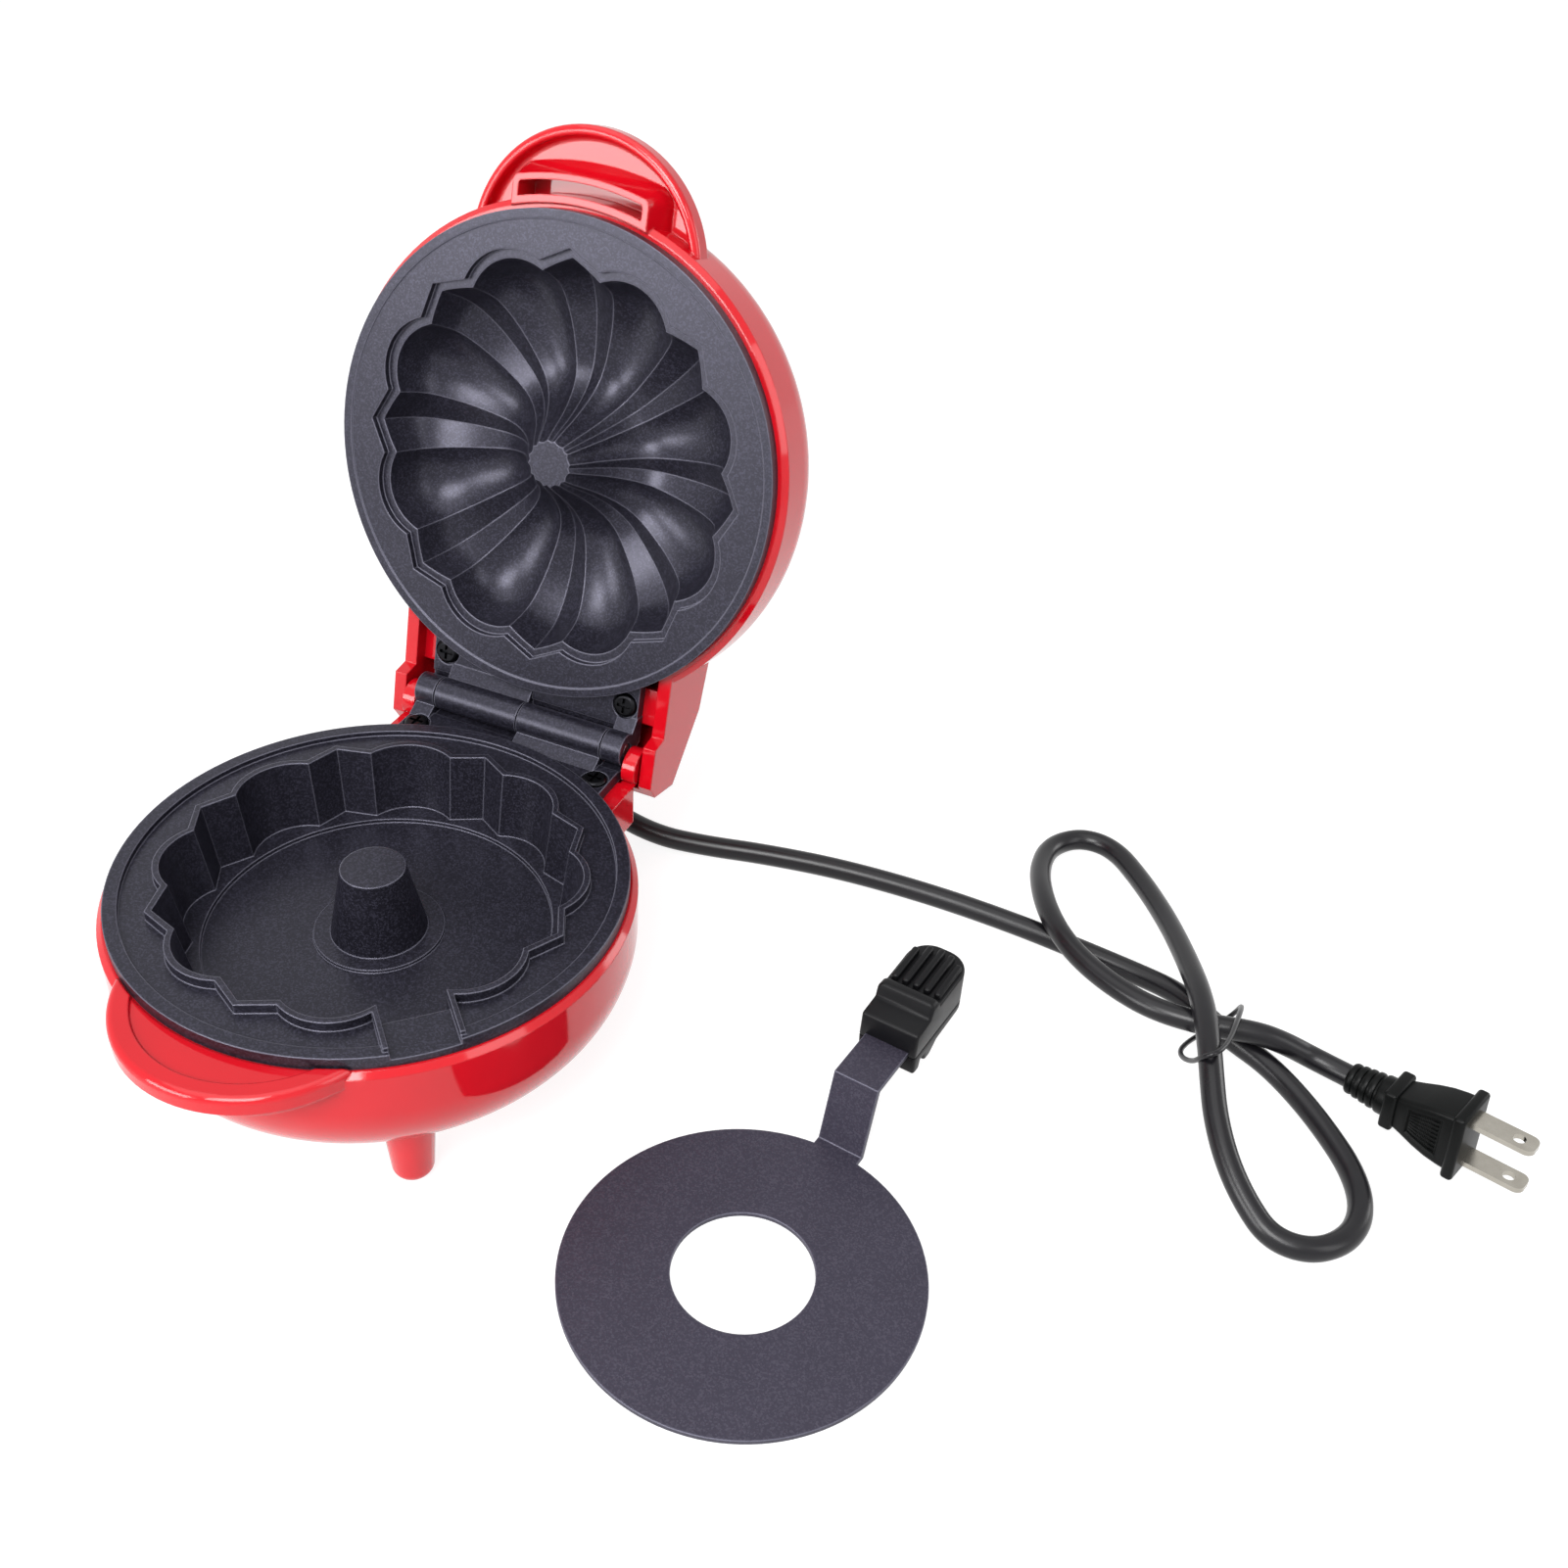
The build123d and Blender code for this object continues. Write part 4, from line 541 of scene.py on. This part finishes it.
def bent_wire(name, points, width, rounding, steps):
    """A round wire on one smooth curve by the points, which are in millimetres."""
    curve = bpy.data.curves.new(name, "CURVE")
    curve.dimensions = "3D"
    curve.bevel_depth = width / 2
    curve.bevel_resolution = rounding
    line = curve.splines.new("NURBS")
    line.points.add(len(points) - 1)
    for point, (x, y, z) in zip(line.points, points):
        point.co = (x * MM, y * MM, z * MM, 1)
    line.order_u = 3
    line.resolution_u = steps
    wire = bpy.data.objects.new(name, curve)
    bpy.context.scene.collection.objects.link(wire)
    curve.materials.append(finishes["cord_pvc"])
    return wire


def wire_tie():
    """The tie, a closed loop."""
    tie = bent_wire("wire_tie", tie_points, tie_width, rounding=4, steps=12)
    tie.data.splines[0].use_cyclic_u = True
    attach(tie, "base")
    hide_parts("cord_tie")
    return tie


# ---- Mains lead: one tied lead, from the bush behind the base to the plug ----
cord_width = 6.3 * MM
cord_points = [
    (0, 74.9, 18), (0, 87, 18), (13, 95.5, 11.5), (29, 97.5, 5.2), (44, 102, 3.3), (62, 107, 3.15),
    (86, 111.3, 3.15), (114, 112.8, 3.15), (140, 111.8, 3.15), (160, 109.6, 3.15), (177, 107.4, 3.15),
    (189, 104.2, 4.2), (197.7, 98.2, 5.1), (207, 91.8, 5.1), (217, 87.2, 5.1), (226, 81.5, 4.0),
    (235.5, 73, 3.15), (245.1, 61, 3.15), (249.3, 49.3, 3.15), (247.5, 38.8, 3.15), (240, 31, 3.15),
    (229.8, 30.3, 3.6), (221.8, 36, 6.8), (215, 43, 10.8), (209.4, 51.8, 15.2), (205.5, 62.3, 18.4),
    (202.4, 72.6, 19.6), (197.1, 88.6, 19.0), (189, 108.7, 13.8), (179.7, 128.6, 8.5), (168.5, 146.5, 4.8),
    (157, 159.5, 3.4), (146, 160.3, 3.15), (138.6, 151.5, 3.15), (139.2, 137, 5.2), (145.2, 119.2, 9.2),
    (153.4, 105.6, 10.8), (162.5, 97.4, 10.6), (173.7, 91.2, 10.4), (186, 86.7, 11.0), (200, 86.5, 11.8),
    (213, 89.3, 12.3), (220.8, 90.8, 10.5), (229.53, 93.32, 6.07), (238.88, 89.93, 7.12),
]
mains_lead = bent_wire("mains_lead", cord_points, cord_width, rounding=6, steps=10)
mains_lead.data.use_fill_caps = True
mains_lead.data.splines[0].use_endpoint_u = True
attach(mains_lead, "base")
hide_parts("cord")
moulded_plug()
wire_tie()


# ---- Studio: a white sweep in a white room, with five soft boxes round the object ----
def seen_rays(tree):
    """1 for the rays that show the background: straight, mirrored or through a clear thing."""
    path = add(tree, "ShaderNodeLightPath")
    mirrored = add(tree, "ShaderNodeMath", {0: path.outputs["Is Camera Ray"],
                                            1: path.outputs["Is Glossy Ray"]}, operation="MAXIMUM")
    return add(tree, "ShaderNodeMath", {0: mirrored.outputs[0], 1: path.outputs["Is Transmission Ray"]},
               operation="MAXIMUM").outputs[0]


def studio_floor():
    """A wide sheet of paper. Seen straight on, the lit paper is white of itself and only a pale shadow is
    left on it."""
    sheet_width = 8
    sheet_centre = (0.15, 0.4, 0)
    fibre_width = 40 * MM
    paper_glow = 0.86
    bpy.ops.mesh.primitive_grid_add(x_subdivisions=8, y_subdivisions=8, size=sheet_width)
    floor = bpy.context.object
    floor.name = "studio_floor"
    bpy.ops.object.mode_set(mode="EDIT")
    bpy.ops.transform.translate(value=sheet_centre)
    bpy.ops.object.mode_set(mode="OBJECT")
    material, tree, shader, place = blank("white_paper_sweep")
    fibre = add(tree, "ShaderNodeTexNoise", {"Vector": place, "Scale": 1 / fibre_width, "Detail": 3})
    paper = add(tree, "ShaderNodeMix", {SHARE: fibre.outputs["Fac"], FIRST: colour("#E9E9E9"),
                                        SECOND: colour("#ECECEC")}, data_type="RGBA")
    seen = seen_rays(tree)
    shown = add(tree, "ShaderNodeMix", {SHARE: seen, FIRST: paper.outputs[MIXED], SECOND: colour("#8C8C8C")},
                data_type="RGBA")
    glow = add(tree, "ShaderNodeMath", {0: seen, 1: paper_glow}, operation="MULTIPLY")
    tree.links.new(shown.outputs[MIXED], shader.inputs["Base Color"])
    tree.links.new(glow.outputs[0], shader.inputs["Emission Strength"])
    shader.inputs["Emission Color"].default_value = colour("#FFFFFF")
    shader.inputs["Roughness"].default_value = 0.8
    shader.inputs["Specular IOR Level"].default_value = 0.1
    floor.data.materials.append(material)


def studio_world():
    """A room that lights the object softly and shows as white."""
    room_light = 0.25
    seen_white = 1
    world = bpy.data.worlds.new("white_room")
    bpy.context.scene.world = world
    world.use_nodes = True
    tree = world.node_tree
    tree.nodes.clear()
    strength = add(tree, "ShaderNodeMapRange", {"Value": seen_rays(tree), "To Min": room_light,
                                                "To Max": seen_white})
    light = add(tree, "ShaderNodeBackground", {"Color": colour("#FFFFFF"),
                                               "Strength": strength.outputs["Result"]})
    add(tree, "ShaderNodeOutputWorld", {"Surface": light.outputs["Background"]})


def soft_box(name, place, aim, width, height, power):
    """A lamp behind a white cloth, pointed at the aim; its measures are in metres and watts."""
    lamp = bpy.data.lights.new(name, "AREA")
    lamp.shape = "RECTANGLE"
    lamp.size = width
    lamp.size_y = height
    lamp.energy = power
    box = bpy.data.objects.new(name, lamp)
    bpy.context.scene.collection.objects.link(box)
    box.location = place
    box.rotation_euler = (Vector(aim) - Vector(place)).to_track_quat("-Z", "Y").to_euler()


studio_floor()
studio_world()
soft_box("soft_box_above", place=(-0.1, 0.0, 1.3), aim=(0.1, 0.05, 0), width=1.2, height=1.2, power=6)
soft_box("soft_box_left", place=(-0.55, -0.95, 0.45), aim=(0, 0.05, 0.12), width=0.6, height=0.5, power=9)
soft_box("soft_box_front", place=(0.1, -0.8, 1.0), aim=(0, 0.05, 0.1), width=0.6, height=0.6, power=16)
soft_box("soft_box_right", place=(1.2, -0.2, 0.8), aim=(0.1, 0, 0.05), width=0.5, height=0.9, power=4)
soft_box("soft_box_back", place=(1.1, 1.1, 0.35), aim=(0, 0.05, 0.1), width=0.6, height=0.5, power=4)
bpy.context.scene.view_settings.view_transform = "Standard"
